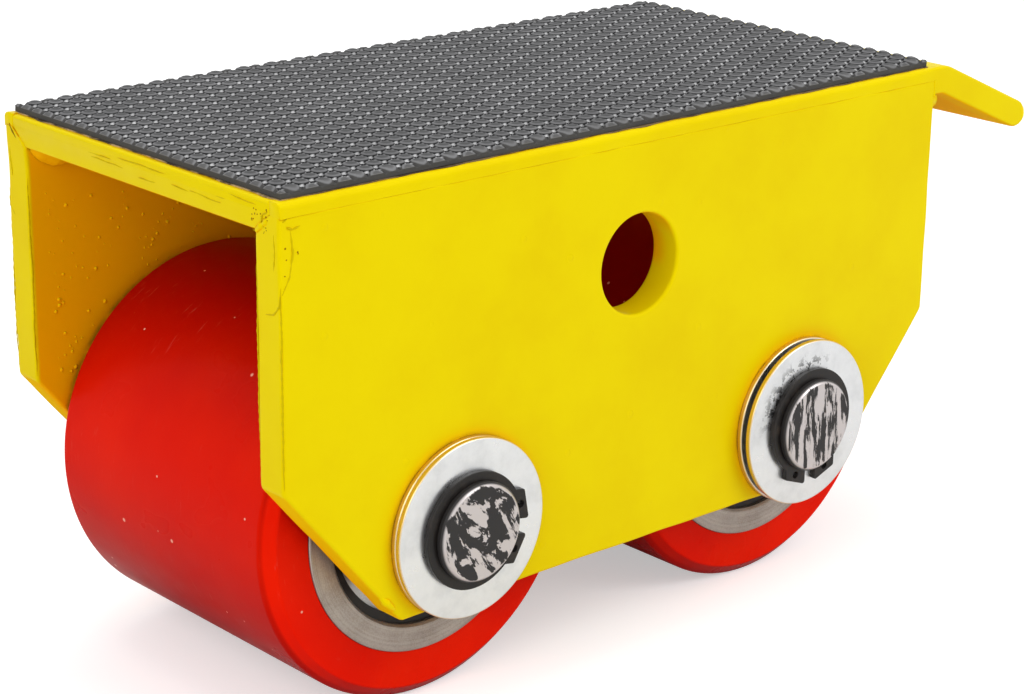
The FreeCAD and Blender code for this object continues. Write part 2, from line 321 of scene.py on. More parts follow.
def finished(bm: bmesh.types.BMesh, name: str, sharp_angle: float = 42.0) -> Mesh:
    """Closes a mesh, turns its faces outwards and smooths it.

    Args:
        bm: The mesh in the making, which is freed.
        name: The new mesh's name.
        sharp_angle: Edges that turn more than this many degrees stay sharp.

    Returns:
        The finished mesh.
    """
    bmesh.ops.remove_doubles(bm, verts=bm.verts, dist=WELD_DISTANCE)
    bmesh.ops.recalc_face_normals(bm, faces=bm.faces)
    mesh = mesh_of(bm, name)
    mesh.shade_smooth()
    mesh.set_sharp_from_angle(angle=math.radians(sharp_angle))
    return mesh


def joined(meshes: Iterable[Mesh], name: str) -> Mesh:
    """Puts several meshes into one.

    Args:
        meshes: The meshes, which are removed.
        name: The new mesh's name.

    Returns:
        One mesh with all their faces.
    """
    bm = bmesh.new()
    for mesh in meshes:
        bm.from_mesh(mesh)
        bpy.data.meshes.remove(mesh)
    return mesh_of(bm, name)


def across_y(first: float, second: float, depth: float) -> Vector:
    """Places an outline drawn in X and Z at a depth along Y."""
    return Vector((first, depth, second))


def along_z(first: float, second: float, depth: float) -> Vector:
    """Places an outline drawn in X and Y at a height along Z."""
    return Vector((first, second, depth))


def prism(
    name: str,
    loops: Sequence[Outline],
    span: tuple[float, float],
    edge: float,
    place: Placer,
    between: Sequence[float] = (),
) -> Mesh:
    """Flat plate between two depths, its rims and holes broken by round edges.

    Args:
        name: The mesh's name.
        loops: The rim's outline first, then those of its holes.
        span: Lowest and highest depth.
        edge: Radius of the round edges.
        place: Puts two outline coordinates and a depth in space.
        between: Depths of more rings on the walls.

    Returns:
        The closed plate.
    """
    low, high = span
    support = edge / 2
    turns = [math.pi / 8 * step for step in range(5)]
    rise = [(edge + support, 0.0)]
    rise += [(edge * (1 - math.sin(turn)), edge * (1 - math.cos(turn))) for turn in turns]
    rise.append((0.0, edge + support))
    levels = [(inset, low + height) for inset, height in rise]
    levels += [(0.0, depth) for depth in between]
    levels += [(inset, high - height) for inset, height in reversed(rise)]
    bm = bmesh.new()
    cap: list[Outline] = []
    bottoms, tops = [], []
    for number, loop in enumerate(loops):
        outline = turned_to(loop, number == 0)
        ways = inward(outline)
        rings = []
        for inset, depth in levels:
            moved = [point + way * inset for point, way in zip(outline, ways)]
            rings.append([bm.verts.new(place(point.x, point.y, depth)) for point in moved])
        for lower, upper in zip(rings, rings[1:]):
            bridge(bm, lower, upper)
        cap.append(moved)
        bottoms.append(rings[0])
        tops.append(rings[-1])
    fill(bm, cap, bottoms)
    fill(bm, cap, tops)
    return finished(bm, name)


def lathe(name: str, profile: Outline, axis: Vector, steps: int, closed: bool = True) -> Mesh:
    """Turns a profile about a line along Y.

    Args:
        name: The mesh's name.
        profile: Points of radius and Y.
        axis: Any point of the line.
        steps: How many steps make the turn.
        closed: True for a ring's closed profile, False for one that starts and ends on the line.

    Returns:
        The closed turned piece.
    """
    bm = bmesh.new()
    rings = []
    for radius, along in profile:
        count = steps if radius > NEAR_ZERO else 1
        points = circle(axis.x, axis.z, radius, count)
        rings.append([bm.verts.new(Vector((point.x, along, point.y))) for point in points])
    for lower, upper in zip(rings, rings[1:] + rings[:1] if closed else rings[1:]):
        bridge(bm, lower, upper)
    return finished(bm, name)


def loft(name: str, sections: Sequence[Sequence[Vector]]) -> Mesh:
    """Skin through closed sections of as many points, with its two ends closed.

    Args:
        name: The mesh's name.
        sections: The sections in order, each a closed ring of points.

    Returns:
        The closed skin.
    """
    bm = bmesh.new()
    rings = [[bm.verts.new(point) for point in section] for section in sections]
    for lower, upper in zip(rings, rings[1:]):
        bridge(bm, lower, upper)
    bm.faces.new(rings[0])
    bm.faces.new(rings[-1])
    return finished(bm, name)


def sheet(name: str, loops: Sequence[Outline], depth: float, place: Placer) -> Mesh:
    """Flat face with holes, for a tree that scatters over it.

    Args:
        name: The mesh's name.
        loops: The rim's outline and those of the holes.
        depth: Depth of the face.
        place: Puts two outline coordinates and a depth in space.

    Returns:
        The face in triangles.
    """
    bm = bmesh.new()
    fill(bm, loops, [[bm.verts.new(place(*point, depth)) for point in loop] for loop in loops])
    return mesh_of(bm, name)


def in_scene(name: str, data: ID) -> Object:
    """Puts a new object in the scene.

    Args:
        name: The object's name.
        data: Its mesh, lamp or camera.

    Returns:
        The object.
    """
    made = bpy.data.objects.new(name, data)
    bpy.context.scene.collection.objects.link(made)
    return made


def polyline(name: str, points: Sequence[Vector]) -> Mesh:
    """Open line of edges, for a tree that follows a path.

    Args:
        name: The mesh's name.
        points: The line's points.

    Returns:
        A mesh of edges alone.
    """
    mesh = bpy.data.meshes.new(name)
    mesh.from_pydata(points, [(index, index + 1) for index in range(len(points) - 1)], [])
    return mesh


# Node trees


class Graph:
    """A node tree with short ways to add nodes to it and join them."""

    def __init__(self, tree: NodeTree) -> None:
        """Keeps the tree that the nodes go into."""
        self.tree = tree

    def put(self, kind: str, inputs: dict[str | int, object] | None = None, **settings: object) -> Node:
        """Adds a node.

        Args:
            kind: Blender's name for the node.
            inputs: Sockets to link, or values to set, by the input's name or place.
            settings: The node's own properties.

        Returns:
            The new node.
        """
        node = self.tree.nodes.new(kind)
        for key, value in settings.items():
            setattr(node, key, value)
        for key, value in (inputs or {}).items():
            if isinstance(value, NodeSocket):
                self.tree.links.new(value, node.inputs[key])
            else:
                node.inputs[key].default_value = value
        return node

    def out(self, kind: str, inputs: dict[str | int, object], **settings: object) -> NodeSocket:
        """Adds a node and gives its first output."""
        return self.put(kind, inputs, **settings).outputs[0]

    def math(self, operation: str, *values: NodeSocket | float) -> NodeSocket:
        """Plain operation on one to three numbers, by Blender's name for it."""
        return self.out("ShaderNodeMath", dict(enumerate(values)), operation=operation)

    def product(self, *values: NodeSocket | float) -> NodeSocket:
        """Product of two or more numbers."""
        return functools.reduce(functools.partial(self.math, "MULTIPLY"), values)

    def greatest(self, *values: NodeSocket | float) -> NodeSocket:
        """Greatest of two or more numbers."""
        return functools.reduce(functools.partial(self.math, "MAXIMUM"), values)

    def vector(self, operation: str, first: object, second: object) -> NodeSocket:
        """Operation on two vectors, by Blender's name for it."""
        inputs = {0: first, 1: second}
        return self.out("ShaderNodeVectorMath", inputs, operation=operation)

    def scaled(self, vector: object, factor: NodeSocket | float) -> NodeSocket:
        """Vector times a number."""
        inputs = {0: vector, "Scale": factor}
        return self.out("ShaderNodeVectorMath", inputs, operation="SCALE")

    def ramp(
        self,
        value: NodeSocket,
        start: NodeSocket | float,
        end: float,
        low: float = 0.0,
        high: float = 1.0,
    ) -> NodeSocket:
        """Smooth step from a low to a high level, while a value goes from start to end."""
        inputs = {0: value, 1: start, 2: end, 3: low, 4: high}
        return self.out("ShaderNodeMapRange", inputs, interpolation_type="SMOOTHSTEP")

    def noise(
        self,
        vector: NodeSocket,
        scale: float,
        detail: float = 2.0,
        grain: float = 0.5,
        bend: float = 0.0,
        result: str = "Fac",
    ) -> NodeSocket:
        """Cloudy noise by its clouds to the metre, finer layers, their strength and how bent it is."""
        inputs = {"Vector": vector, "Scale": scale, "Detail": detail, "Roughness": grain}
        return self.put("ShaderNodeTexNoise", inputs | {"Distortion": bend}).outputs[result]


class GeometryTree(Graph):
    """A Geometry Nodes tree with named inputs, which is run once on a mesh."""

    def __init__(self, name: str, inputs: dict[str, str]) -> None:
        """Starts the tree.

        Args:
            name: The tree's name.
            inputs: Each input's label and the kind of its socket.
        """
        super().__init__(bpy.data.node_groups.new(name, "GeometryNodeTree"))
        interface = self.tree.interface
        interface.new_socket("Geometry", in_out="INPUT", socket_type="NodeSocketGeometry")
        self.identifiers: dict[str, str] = {}
        for label, kind in (inputs | {"Material": "Material"}).items():
            socket = interface.new_socket(label, in_out="INPUT", socket_type="NodeSocket" + kind)
            self.identifiers[label] = socket.identifier
        interface.new_socket("Geometry", in_out="OUTPUT", socket_type="NodeSocketGeometry")
        self.given = self.tree.nodes.new("NodeGroupInput").outputs

    def random(self, low: float, high: float, seed: NodeSocket) -> NodeSocket:
        """Random number for each point, between two levels."""
        return self.put("FunctionNodeRandomValue", {2: low, 3: high, "Seed": seed}).outputs[1]

    def end(self, geometry: NodeSocket) -> None:
        """Ends the tree with plain smooth meshes in the given material.

        Args:
            geometry: What the tree has made.
        """
        plain = self.out("GeometryNodeRealizeInstances", {0: geometry})
        smooth = self.out("GeometryNodeSetShadeSmooth", {0: plain})
        inputs = {0: smooth, "Material": self.given["Material"]}
        self.put("NodeGroupOutput", {0: self.out("GeometryNodeSetMaterial", inputs)})

    def run(self, host: Mesh, values: dict[str, object]) -> Mesh:
        """Runs the tree.

        Args:
            host: The mesh that it starts from, which is removed.
            values: A value for each named input.

        Returns:
            What the tree makes, as a plain mesh.
        """
        carrier = in_scene(host.name, host)
        modifier = carrier.modifiers.new(self.tree.name, "NODES")
        modifier.node_group = self.tree
        for label, value in values.items():
            modifier[self.identifiers[label]] = value
        evaluated = carrier.evaluated_get(bpy.context.evaluated_depsgraph_get())
        mesh = bpy.data.meshes.new_from_object(evaluated)
        carrier.modifiers.remove(modifier)
        bpy.data.objects.remove(carrier)
        bpy.data.meshes.remove(host)
        return mesh


class BeadTree(GeometryTree):
    """Bead of weld or thick paint along a path, rippled, wandering and uneven."""

    def __init__(self) -> None:
        """Builds the tree."""
        lengths = ("Radius", "Ripple", "Pitch", "Wander", "Unevenness", "Taper", "Step", "Seed")
        super().__init__("bead_along_path", dict.fromkeys(lengths, "Float") | {"Sides": "Int"})
        given = self.given
        path = self.out("GeometryNodeMeshToCurve", {0: given["Geometry"]})
        inputs = {0: path, "Length": given["Step"]}
        path = self.out("GeometryNodeResampleCurve", inputs, mode="LENGTH")
        place = self.out("GeometryNodeInputPosition", {})
        shift = self.out("ShaderNodeCombineXYZ", {0: given["Seed"], 1: given["Seed"]})
        place = self.vector("ADD", place, shift)
        wander = self.vector("SUBTRACT", self.noise(place, 140.0, result="Color"), (0.5, 0.5, 0.5))
        offset = self.scaled(wander, self.product(given["Wander"], 2.0))
        path = self.out("GeometryNodeSetPosition", {0: path, "Offset": offset})
        spline = self.put("GeometryNodeSplineParameter").outputs
        ripples = self.math("DIVIDE", spline["Length"], given["Pitch"])
        wave = self.math("SINE", self.product(ripples, math.tau))
        swell = self.math("MULTIPLY_ADD", wave, given["Ripple"], 1.0)
        end_share = self.math("MINIMUM", spline["Factor"], self.math("SUBTRACT", 1.0, spline["Factor"]))
        share = self.math("MINIMUM", self.math("DIVIDE", end_share, given["Taper"]), 1.0)
        taper = self.math("POWER", self.greatest(share, 0.02), 0.5)
        inputs = {"Resolution": given["Sides"], "Radius": given["Radius"]}
        section = self.out("GeometryNodeCurvePrimitiveCircle", inputs)
        inputs = {0: path, 1: section, "Scale": self.product(swell, taper), "Fill Caps": True}
        bead = self.out("GeometryNodeCurveToMesh", inputs)
        lumps = self.math("SUBTRACT", self.noise(place, 420.0, 3.0), 0.5)
        normal = self.out("GeometryNodeInputNormal", {})
        offset = self.scaled(normal, self.product(lumps, given["Unevenness"]))
        self.end(self.out("GeometryNodeSetPosition", {0: bead, "Offset": offset}))


class StudTree(GeometryTree):
    """Staggered rows of studs moulded on a rubber sheet."""

    def __init__(self) -> None:
        """Builds the tree."""
        kinds = {"Stud": "Object", "Columns": "Int", "Rows": "Int", "Column Pitch": "Float"}
        kinds |= {"Row Pitch": "Float", "Centre": "Vector", "Unevenness": "Float", "Seed": "Int"}
        super().__init__("studs_in_staggered_rows", kinds)
        given = self.given
        length = self.product(self.math("SUBTRACT", given["Columns"], 1.0), given["Column Pitch"])
        width = self.product(self.math("SUBTRACT", given["Rows"], 1.0), given["Row Pitch"])
        inputs = {0: length, 1: width, 2: given["Columns"], 3: given["Rows"]}
        grid = self.out("GeometryNodeMeshGrid", inputs)
        place = self.out("GeometryNodeInputPosition", {})
        along = self.out("ShaderNodeSeparateXYZ", {0: place})
        from_end = self.math("MULTIPLY_ADD", length, 0.5, along)
        column = self.math("ROUND", self.math("DIVIDE", from_end, given["Column Pitch"]))
        odd = self.math("FLOORED_MODULO", column, 2.0)
        stagger = self.product(odd, given["Row Pitch"], 0.5)
        offset = self.out("ShaderNodeCombineXYZ", {1: stagger})
        offset = self.vector("ADD", offset, given["Centre"])
        grid = self.out("GeometryNodeSetPosition", {0: grid, "Offset": offset})
        stud = self.put("GeometryNodeObjectInfo", {0: given["Stud"]}).outputs["Geometry"]
        spread = self.random(-1.0, 1.0, given["Seed"])
        size = self.math("MULTIPLY_ADD", spread, given["Unevenness"], 1.0)
        scale = self.out("ShaderNodeCombineXYZ", {0: size, 1: size, 2: 1.0})
        inputs = {0: grid, "Instance": stud, "Scale": scale}
        studs = self.out("GeometryNodeInstanceOnPoints", inputs)
        whole = self.put("GeometryNodeJoinGeometry")
        for part in (given["Geometry"], studs):
            self.tree.links.new(part, whole.inputs[0])
        self.end(whole.outputs[0])


class BlisterTree(GeometryTree):
    """Small blisters and runs of paint scattered over faces."""

    def __init__(self) -> None:
        """Builds the tree."""
        kinds = {"Density": "Float", "Smallest": "Float", "Largest": "Float", "Flatness": "Float"}
        super().__init__("paint_blisters", kinds | {"Seed": "Int"})
        given = self.given
        inputs = {0: given["Geometry"], "Density": given["Density"], "Seed": given["Seed"]}
        scatter = self.put("GeometryNodeDistributePointsOnFaces", inputs)
        share = self.math("POWER", self.random(0.0, 1.0, given["Seed"]), 2.0)
        spread = self.math("SUBTRACT", given["Largest"], given["Smallest"])
        radius = self.math("MULTIPLY_ADD", share, spread, given["Smallest"])
        height = self.product(radius, given["Flatness"])
        scale = self.out("ShaderNodeCombineXYZ", {0: radius, 1: radius, 2: height})
        drop = self.out("GeometryNodeMeshUVSphere", {0: 8, 1: 5, 2: 1.0})
        inputs = {0: scatter.outputs[0], "Rotation": scatter.outputs["Rotation"]}
        inputs |= {"Instance": drop, "Scale": scale}
        self.end(self.out("GeometryNodeInstanceOnPoints", inputs))


# Finishes


class ShaderGraph(Graph):
    """Material's tree with its shader, its output and the piece's own coordinates."""

    def __init__(self, name: str, middle: Vector = Vector()) -> None:
        """Starts a material.

        Args:
            name: The material's name.
            middle: Point that the pattern is centred on.
        """
        self.material = bpy.data.materials.new(name)
        self.material.use_nodes = True
        super().__init__(self.material.node_tree)
        self.tree.nodes.clear()
        coordinates = self.put("ShaderNodeTexCoord").outputs["Object"]
        inputs = {"Vector": coordinates, "Location": -middle}
        self.place = self.out("ShaderNodeMapping", inputs)
        self.axes = self.put("ShaderNodeSeparateXYZ", {0: self.place}).outputs

    def mix(self, share: NodeSocket, first: NodeSocket | Colour, second: NodeSocket | Colour) -> NodeSocket:
        """Mixes two colours by the share of the second one."""
        return self.put("ShaderNodeMix", {0: share, 6: first, 7: second}, data_type="RGBA").outputs[2]

    def stretched(self, factors: tuple[float, float, float], turn: float = 0.0) -> NodeSocket:
        """Coordinates stretched along the axes, after a turn about Y.

        Args:
            factors: How much closer the pattern lies along X, Y and Z.
            turn: Angle about Y, in radians.

        Returns:
            The coordinates' socket.
        """
        inputs = {"Vector": self.place, "Rotation": (0.0, turn, 0.0)}
        turned = self.out("ShaderNodeMapping", inputs)
        return self.vector("MULTIPLY", turned, factors)

    def radius(self) -> NodeSocket:
        """Distance from the line along Y through the pattern's middle."""
        squares = [self.math("POWER", self.axes[axis], 2.0) for axis in (0, 2)]
        return self.math("SQRT", self.math("ADD", *squares))

    def angle(self) -> NodeSocket:
        """Angle about the line along Y through the pattern's middle."""
        return self.math("ARCTAN2", self.axes[2], self.axes[0])

    def round_place(self) -> NodeSocket:
        """Coordinates that follow a turned piece: round it, along it and outwards."""
        inputs = {0: self.angle(), 1: self.axes[1], 2: self.radius()}
        return self.out("ShaderNodeCombineXYZ", inputs)

    def open_room(self, distance: float) -> NodeSocket:
        """How open the surface lies within a distance, from 0 in a tight corner to 1."""
        inputs = {"Distance": distance}
        return self.put("ShaderNodeAmbientOcclusion", inputs, samples=SHADE_SAMPLES).outputs["AO"]

    def specks(self, scale: float, size: float, share: float) -> NodeSocket:
        """Sparse round specks.

        Args:
            scale: Cells to the metre.
            size: A speck's radius as a share of its cell.
            share: How many cells have a speck, from 0 to 1.

        Returns:
            Socket that is 1 in a speck.
        """
        cells = self.put("ShaderNodeTexVoronoi", {"Vector": self.place, "Scale": scale})
        inside = self.ramp(cells.outputs["Distance"], size, size * 0.6)
        pick = self.out("ShaderNodeSeparateColor", {0: cells.outputs["Color"]})
        return self.product(inside, self.math("LESS_THAN", pick, share))

    def bump(
        self, height: NodeSocket, depth: float, strength: float, under: NodeSocket | None = None
    ) -> NodeSocket:
        """Relief in the surface.

        Args:
            height: Height from 0 to 1.
            depth: What a height of 1 stands for.
            strength: Share of the relief that shows.
            under: Normal of a coarser relief below it.

        Returns:
            The normal's socket.
        """
        inputs = {"Height": height, "Distance": depth, "Strength": strength}
        if under is not None:
            inputs["Normal"] = under
        return self.out("ShaderNodeBump", inputs)

    def shade(
        self, colour: NodeSocket, roughness: NodeSocket, normal: NodeSocket, others: dict[str, object]
    ) -> None:
        """Ends the graph with its shader, whose other inputs go by their names."""
        inputs = {"Base Color": colour, "Roughness": roughness, "Normal": normal} | others
        self.put("ShaderNodeOutputMaterial", {"Surface": self.out("ShaderNodeBsdfPrincipled", inputs)})


@dataclass(frozen=True)
class Finish:
    """What a piece's surface is made of.

    Attributes:
        name: The material's name.
        slot: The record's material slot that it belongs to; not used.
        middle: Point that its pattern is centred on.
    """

    name: str
    slot: str
    middle: Corner = (0.0, 0.0, 0.0)

    def material(self) -> Material:
        """Makes the finish's material.

        Returns:
            The material.
        """
        graph = ShaderGraph(self.name, Vector(self.middle))
        self.dress(graph)
        return graph.material

    def dress(self, graph: ShaderGraph) -> None:
        """Fills the material's graph."""
        raise NotImplementedError


@dataclass(frozen=True)
class YellowEnamel(Finish):
    """Thick glossy enamel sprayed over welded steel, with painted orange shade inside and under edges, and
    painted shade with soil in its corners.
    """

    name: str = "yellow_enamel"
    slot: str = "yellow_paint"
    colour: Colour = (0.80, 0.635, 0.0005, 1.0)
    thin_colour: Colour = (0.76, 0.57, 0.0005, 1.0)
    inner_colour: Colour = (0.88, 0.44, 0.0005, 1.0)
    grime: Colour = (0.20, 0.13, 0.008, 1.0)
    sheen: Colour = (1.0, 0.88, 0.1, 1.0)
    inner_half_width: float = 37.5 * MM
    underside: float = 103.5 * MM
    open_end: float = -103.8 * MM

    def dress(self, graph: ShaderGraph) -> None:
        """Makes the enamel: cloudy cover, painted orange shade inside and under edges, orange peel, nibs of
        dust and painted crease shade with soil.

        Args:
            graph: The material's graph.
        """
        clouds = graph.noise(graph.place, 32.0, 4.0, 0.6)
        cover = graph.mix(graph.ramp(clouds, 0.35, 0.75), self.colour, self.thin_colour)
        # Painted shade: orange inside the channel, under edges and close round fittings.
        cover = graph.mix(self.thinness(graph), cover, self.inner_colour)
        # Painted shade with soil: the colour darkens in creases and corners by ambient occlusion within 2
        # mm, broken up by patchy noise.
        shade = graph.open_room(2.0 * MM)
        patchy = graph.noise(graph.place, 260.0, 3.0)
        soil_and_crease_shade_share = graph.product(graph.ramp(shade, 0.72, 0.35), graph.ramp(patchy, 0.3, 0.6))
        colour = graph.mix(graph.product(soil_and_crease_shade_share, 0.75), cover, self.grime)
        waves = graph.noise(graph.place, 45.0, 2.0)
        peel = graph.noise(graph.place, 620.0, 1.0)
        nibs = graph.specks(170.0, 0.16, 0.22)
        normal = graph.bump(waves, 0.6 * MM, 0.12)
        normal = graph.bump(peel, 0.05 * MM, 0.25, normal)
        normal = graph.bump(nibs, 0.12 * MM, 0.4, normal)
        gloss = graph.ramp(patchy, 0.2, 0.8, 0.3, 0.42)
        gloss = graph.greatest(gloss, graph.ramp(self.downward(graph), 0.2, 0.7, 0.0, 1.0))
        graph.shade(colour, gloss, normal, {"Specular IOR Level": 0.05, "Specular Tint": self.sheen})

    def downward(self, graph: ShaderGraph) -> NodeSocket:
        """How far the surface faces the floor, where the gloss is duller and the painted orange shade
        falls.
        """
        normal = graph.put("ShaderNodeNewGeometry").outputs["Normal"]
        return graph.product(graph.put("ShaderNodeSeparateXYZ", {0: normal}).outputs[2], -1.0)

    def thinness(self, graph: ShaderGraph) -> NodeSocket:
        """Share of painted orange shade, standing for shade and red light reflected off the tyres: inside
        the channel, under edges and close round fittings.

        Args:
            graph: The material's graph.

        Returns:
            The share's socket.
        """
        across = graph.math("ABSOLUTE", graph.axes[1])
        inside = graph.ramp(across, self.inner_half_width + 5.0 * MM, self.inner_half_width + 0.6 * MM)
        behind = graph.ramp(graph.axes[0], self.open_end + 0.4 * MM, self.open_end + 1.2 * MM)
        below = graph.ramp(graph.axes[2], self.underside + 1.5 * MM, self.underside + 0.2 * MM)
        hidden = graph.ramp(self.downward(graph), -0.4, -0.1)
        channel = graph.product(inside, behind, below, hidden)
        under = graph.ramp(self.downward(graph), 0.25, 0.8, 0.0, 0.75)
        close = graph.ramp(graph.open_room(9.0 * MM), 0.93, 0.45, 0.0, 0.85)
        return graph.greatest(channel, under, close)


@dataclass(frozen=True)
class GripRubber(Finish):
    """Dark grey moulded rubber, worn light on its studs with a painted highlight on their rims, and pale
    dust between them that also paints their glint.
    """

    name: str = "grip_rubber_mat"
    slot: str = "grip_rubber"
    colour: Colour = (0.009, 0.009, 0.0095, 1.0)
    rubbed: Colour = (0.20, 0.20, 0.205, 1.0)
    worn: Colour = (0.062, 0.06, 0.058, 1.0)
    # Pale dust that also stands for the painted glint of the ground where three studs meet.
    dust: Colour = (0.68, 0.68, 0.69, 1.0)
    half_size: tuple[float, float] = (86.0 * MM, 43.0 * MM)

    def dress(self, graph: ShaderGraph) -> None:
        """Makes the rubber: grain, worn crowns with a painted highlight on their rims, and dusty ground
        between the studs that also paints a glint.

        Args:
            graph: The material's graph.
        """
        height = graph.put("ShaderNodeAttribute", attribute_name=HEIGHT_LAYER).outputs["Fac"]
        cloud = graph.noise(graph.place, 55.0, 4.0, 0.65)
        patches = graph.ramp(cloud, 0.25, 0.75, 0.6, 1.0)
        # Painted highlight with some wear: a lighter ring round each stud's crown.
        rim = graph.product(graph.ramp(height, 0.5, 0.78), graph.ramp(height, 0.8, 1.0, 1.0, 0.36))
        inside = self.among_studs(graph)
        colour = graph.mix(inside, self.worn, self.colour)
        colour = graph.mix(graph.product(rim, patches), colour, self.rubbed)
        # Dust with a painted glint where three studs meet.
        dust_and_glint = graph.put("ShaderNodeAttribute", attribute_name=DUST_AND_GLINT_LAYER).outputs["Fac"]
        ground = graph.product(graph.ramp(dust_and_glint, 0.25, 0.75), inside)
        colour = graph.mix(graph.product(ground, patches), colour, self.dust)
        grain = graph.noise(graph.place, 2600.0, 2.0)
        normal = graph.bump(grain, 0.05 * MM, 0.35)
        gloss = graph.ramp(cloud, 0.3, 0.7, 0.5, 0.65)
        graph.shade(colour, gloss, normal, {"Specular IOR Level": 0.1})

    def among_studs(self, graph: ShaderGraph) -> NodeSocket:
        """Area away from the pad's edges, where the studs hold the dust.

        Args:
            graph: The material's graph.

        Returns:
            Socket that is 1 among the studs.
        """
        share: NodeSocket | float = 1.0
        for axis, reach in enumerate(self.half_size):
            distance = graph.math("ABSOLUTE", graph.axes[axis])
            share = graph.product(graph.ramp(distance, reach - 0.7 * MM, reach - 1.9 * MM), share)
        return share


@dataclass(frozen=True)
class DriedGlue(Finish):
    """Beige contact glue squeezed out under the pad."""

    name: str = "dried_glue"
    slot: str = "glue"
    colour: Colour = (0.52, 0.36, 0.16, 1.0)
    dark: Colour = (0.045, 0.024, 0.008, 1.0)
    front: float = -102.0 * MM

    def dress(self, graph: ShaderGraph) -> None:
        """Makes the glue: blotched, stringy and half shiny, and darker away from the front, as painted
        shade of the gap under the pad.

        Args:
            graph: The material's graph.
        """
        blotch = graph.noise(graph.place, 160.0, 4.0, 0.6)
        # Painted shade: the glue darkens away from the open end, under the pad's edge.
        pale_share = graph.ramp(graph.axes[0], self.front + 5.0 * MM, self.front + 1.0 * MM, 0.25, 1.0)
        pale_share = graph.product(graph.ramp(blotch, 0.42, 0.58), pale_share)
        colour = graph.mix(pale_share, self.dark, self.colour)
        strings = graph.noise(graph.stretched((1.0, 1.0, 4.0)), 700.0, 3.0)
        normal = graph.bump(strings, 0.15 * MM, 0.6)
        gloss = graph.ramp(blotch, 0.3, 0.7, 0.3, 0.6)
        graph.shade(colour, gloss, normal, {})


@dataclass(frozen=True)
class RedPolyurethane(Finish):
    """Cast red polyurethane, turned on a lathe and dusty from use."""

    name: str = "red_polyurethane_tyre"
    slot: str = "red_polyurethane"
    tread_radius: float = 37.5 * MM
    colour: Colour = (0.87, 0.013, 0.0005, 1.0)
    deep: Colour = (0.78, 0.007, 0.0005, 1.0)
    sheen: Colour = (1.0, 0.82, 0.35, 1.0)
    shaded: Colour = (0.34, 0.0006, 0.0005, 1.0)
    dust: Colour = (0.85, 0.40, 0.30, 1.0)

    def dress(self, graph: ShaderGraph) -> None:
        """Makes the tyre: painted shade where the frame closes it in, turning marks round it, fine hair
        scratches, scuffs and specks of dust.

        Args:
            graph: The material's graph.
        """
        round_place = graph.round_place()
        clouds = graph.noise(graph.place, 40.0, 3.0)
        base = graph.mix(graph.ramp(clouds, 0.3, 0.7), self.deep, self.colour)
        # Painted shade: the tyre darkens by ambient occlusion within 70 mm, most on the tread.
        room = graph.open_room(70.0 * MM)
        on_tread = (self.tread_radius - 1.2 * MM, self.tread_radius - 0.3 * MM)
        lit = graph.ramp(graph.radius(), *on_tread, 0.5, 1.3)
        base = graph.mix(graph.ramp(room, lit, 0.08), base, self.shaded)
        hair = graph.noise(graph.vector("MULTIPLY", round_place, (9.0, 1500.0, 1500.0)), 1.0, 3.0, 0.6)
        scuffed = graph.noise(graph.vector("MULTIPLY", round_place, (2.2, 40.0, 40.0)), 1.0, 3.0, 0.6)
        hairs = graph.product(graph.ramp(hair, 0.6, 0.8), graph.ramp(scuffed, 0.4, 0.7))
        specks = graph.greatest(graph.specks(260.0, 0.13, 0.05), graph.specks(520.0, 0.16, 0.035))
        pale = graph.greatest(graph.product(hairs, 0.12), specks)
        colour = graph.mix(pale, base, self.dust)
        marks = graph.noise(graph.vector("MULTIPLY", round_place, (1.2, 900.0, 900.0)), 1.0, 2.0)
        normal = graph.bump(marks, 0.02 * MM, 0.5)
        normal = graph.bump(graph.noise(graph.place, 900.0, 2.0), 0.02 * MM, 0.4, normal)
        gloss = graph.ramp(scuffed, 0.3, 0.75, 0.26, 0.4)
        graph.shade(colour, gloss, normal, {"Specular IOR Level": 0.045, "Specular Tint": self.sheen})


@dataclass(frozen=True)
class TurnedSteel(Finish):
    """Bare steel faced on a lathe, with rings left by the tool."""

    name: str = "turned_steel"
    slot: str = "hub_steel"
    colour: Colour = (0.47, 0.43, 0.39, 1.0)
    stain: Colour = (0.26, 0.22, 0.19, 1.0)
    rings: float = 3200.0
    smoothness: float = 0.36
    metal: float = 0.85

    def dress(self, graph: ShaderGraph) -> None:
        """Makes the steel: tool rings, a fine grain and a dull stain.

        Args:
            graph: The material's graph.
        """
        round_place = graph.round_place()
        rings = graph.noise(graph.vector("MULTIPLY", round_place, (0.6, self.rings, self.rings)), 1.0, 2.0)
        grain = graph.noise(graph.place, 3400.0, 3.0, 0.65)
        stain = graph.noise(graph.place, 70.0, 4.0, 0.6)
        fine = graph.ramp(grain, 0.42, 0.6, 0.0, 0.24)
        fine = graph.math("ADD", fine, graph.ramp(rings, 0.4, 0.6, 0.0, 0.26))
        share = graph.math("MULTIPLY_ADD", graph.ramp(stain, 0.42, 0.72), 0.5, fine)
        colour = graph.mix(share, self.colour, self.stain)
        normal = graph.bump(rings, 0.05 * MM, 0.7)
        normal = graph.bump(grain, 0.03 * MM, 0.4, normal)
        gloss = graph.ramp(grain, 0.25, 0.75, self.smoothness, self.smoothness + 0.14)
        graph.shade(colour, gloss, normal, {"Metallic": self.metal})


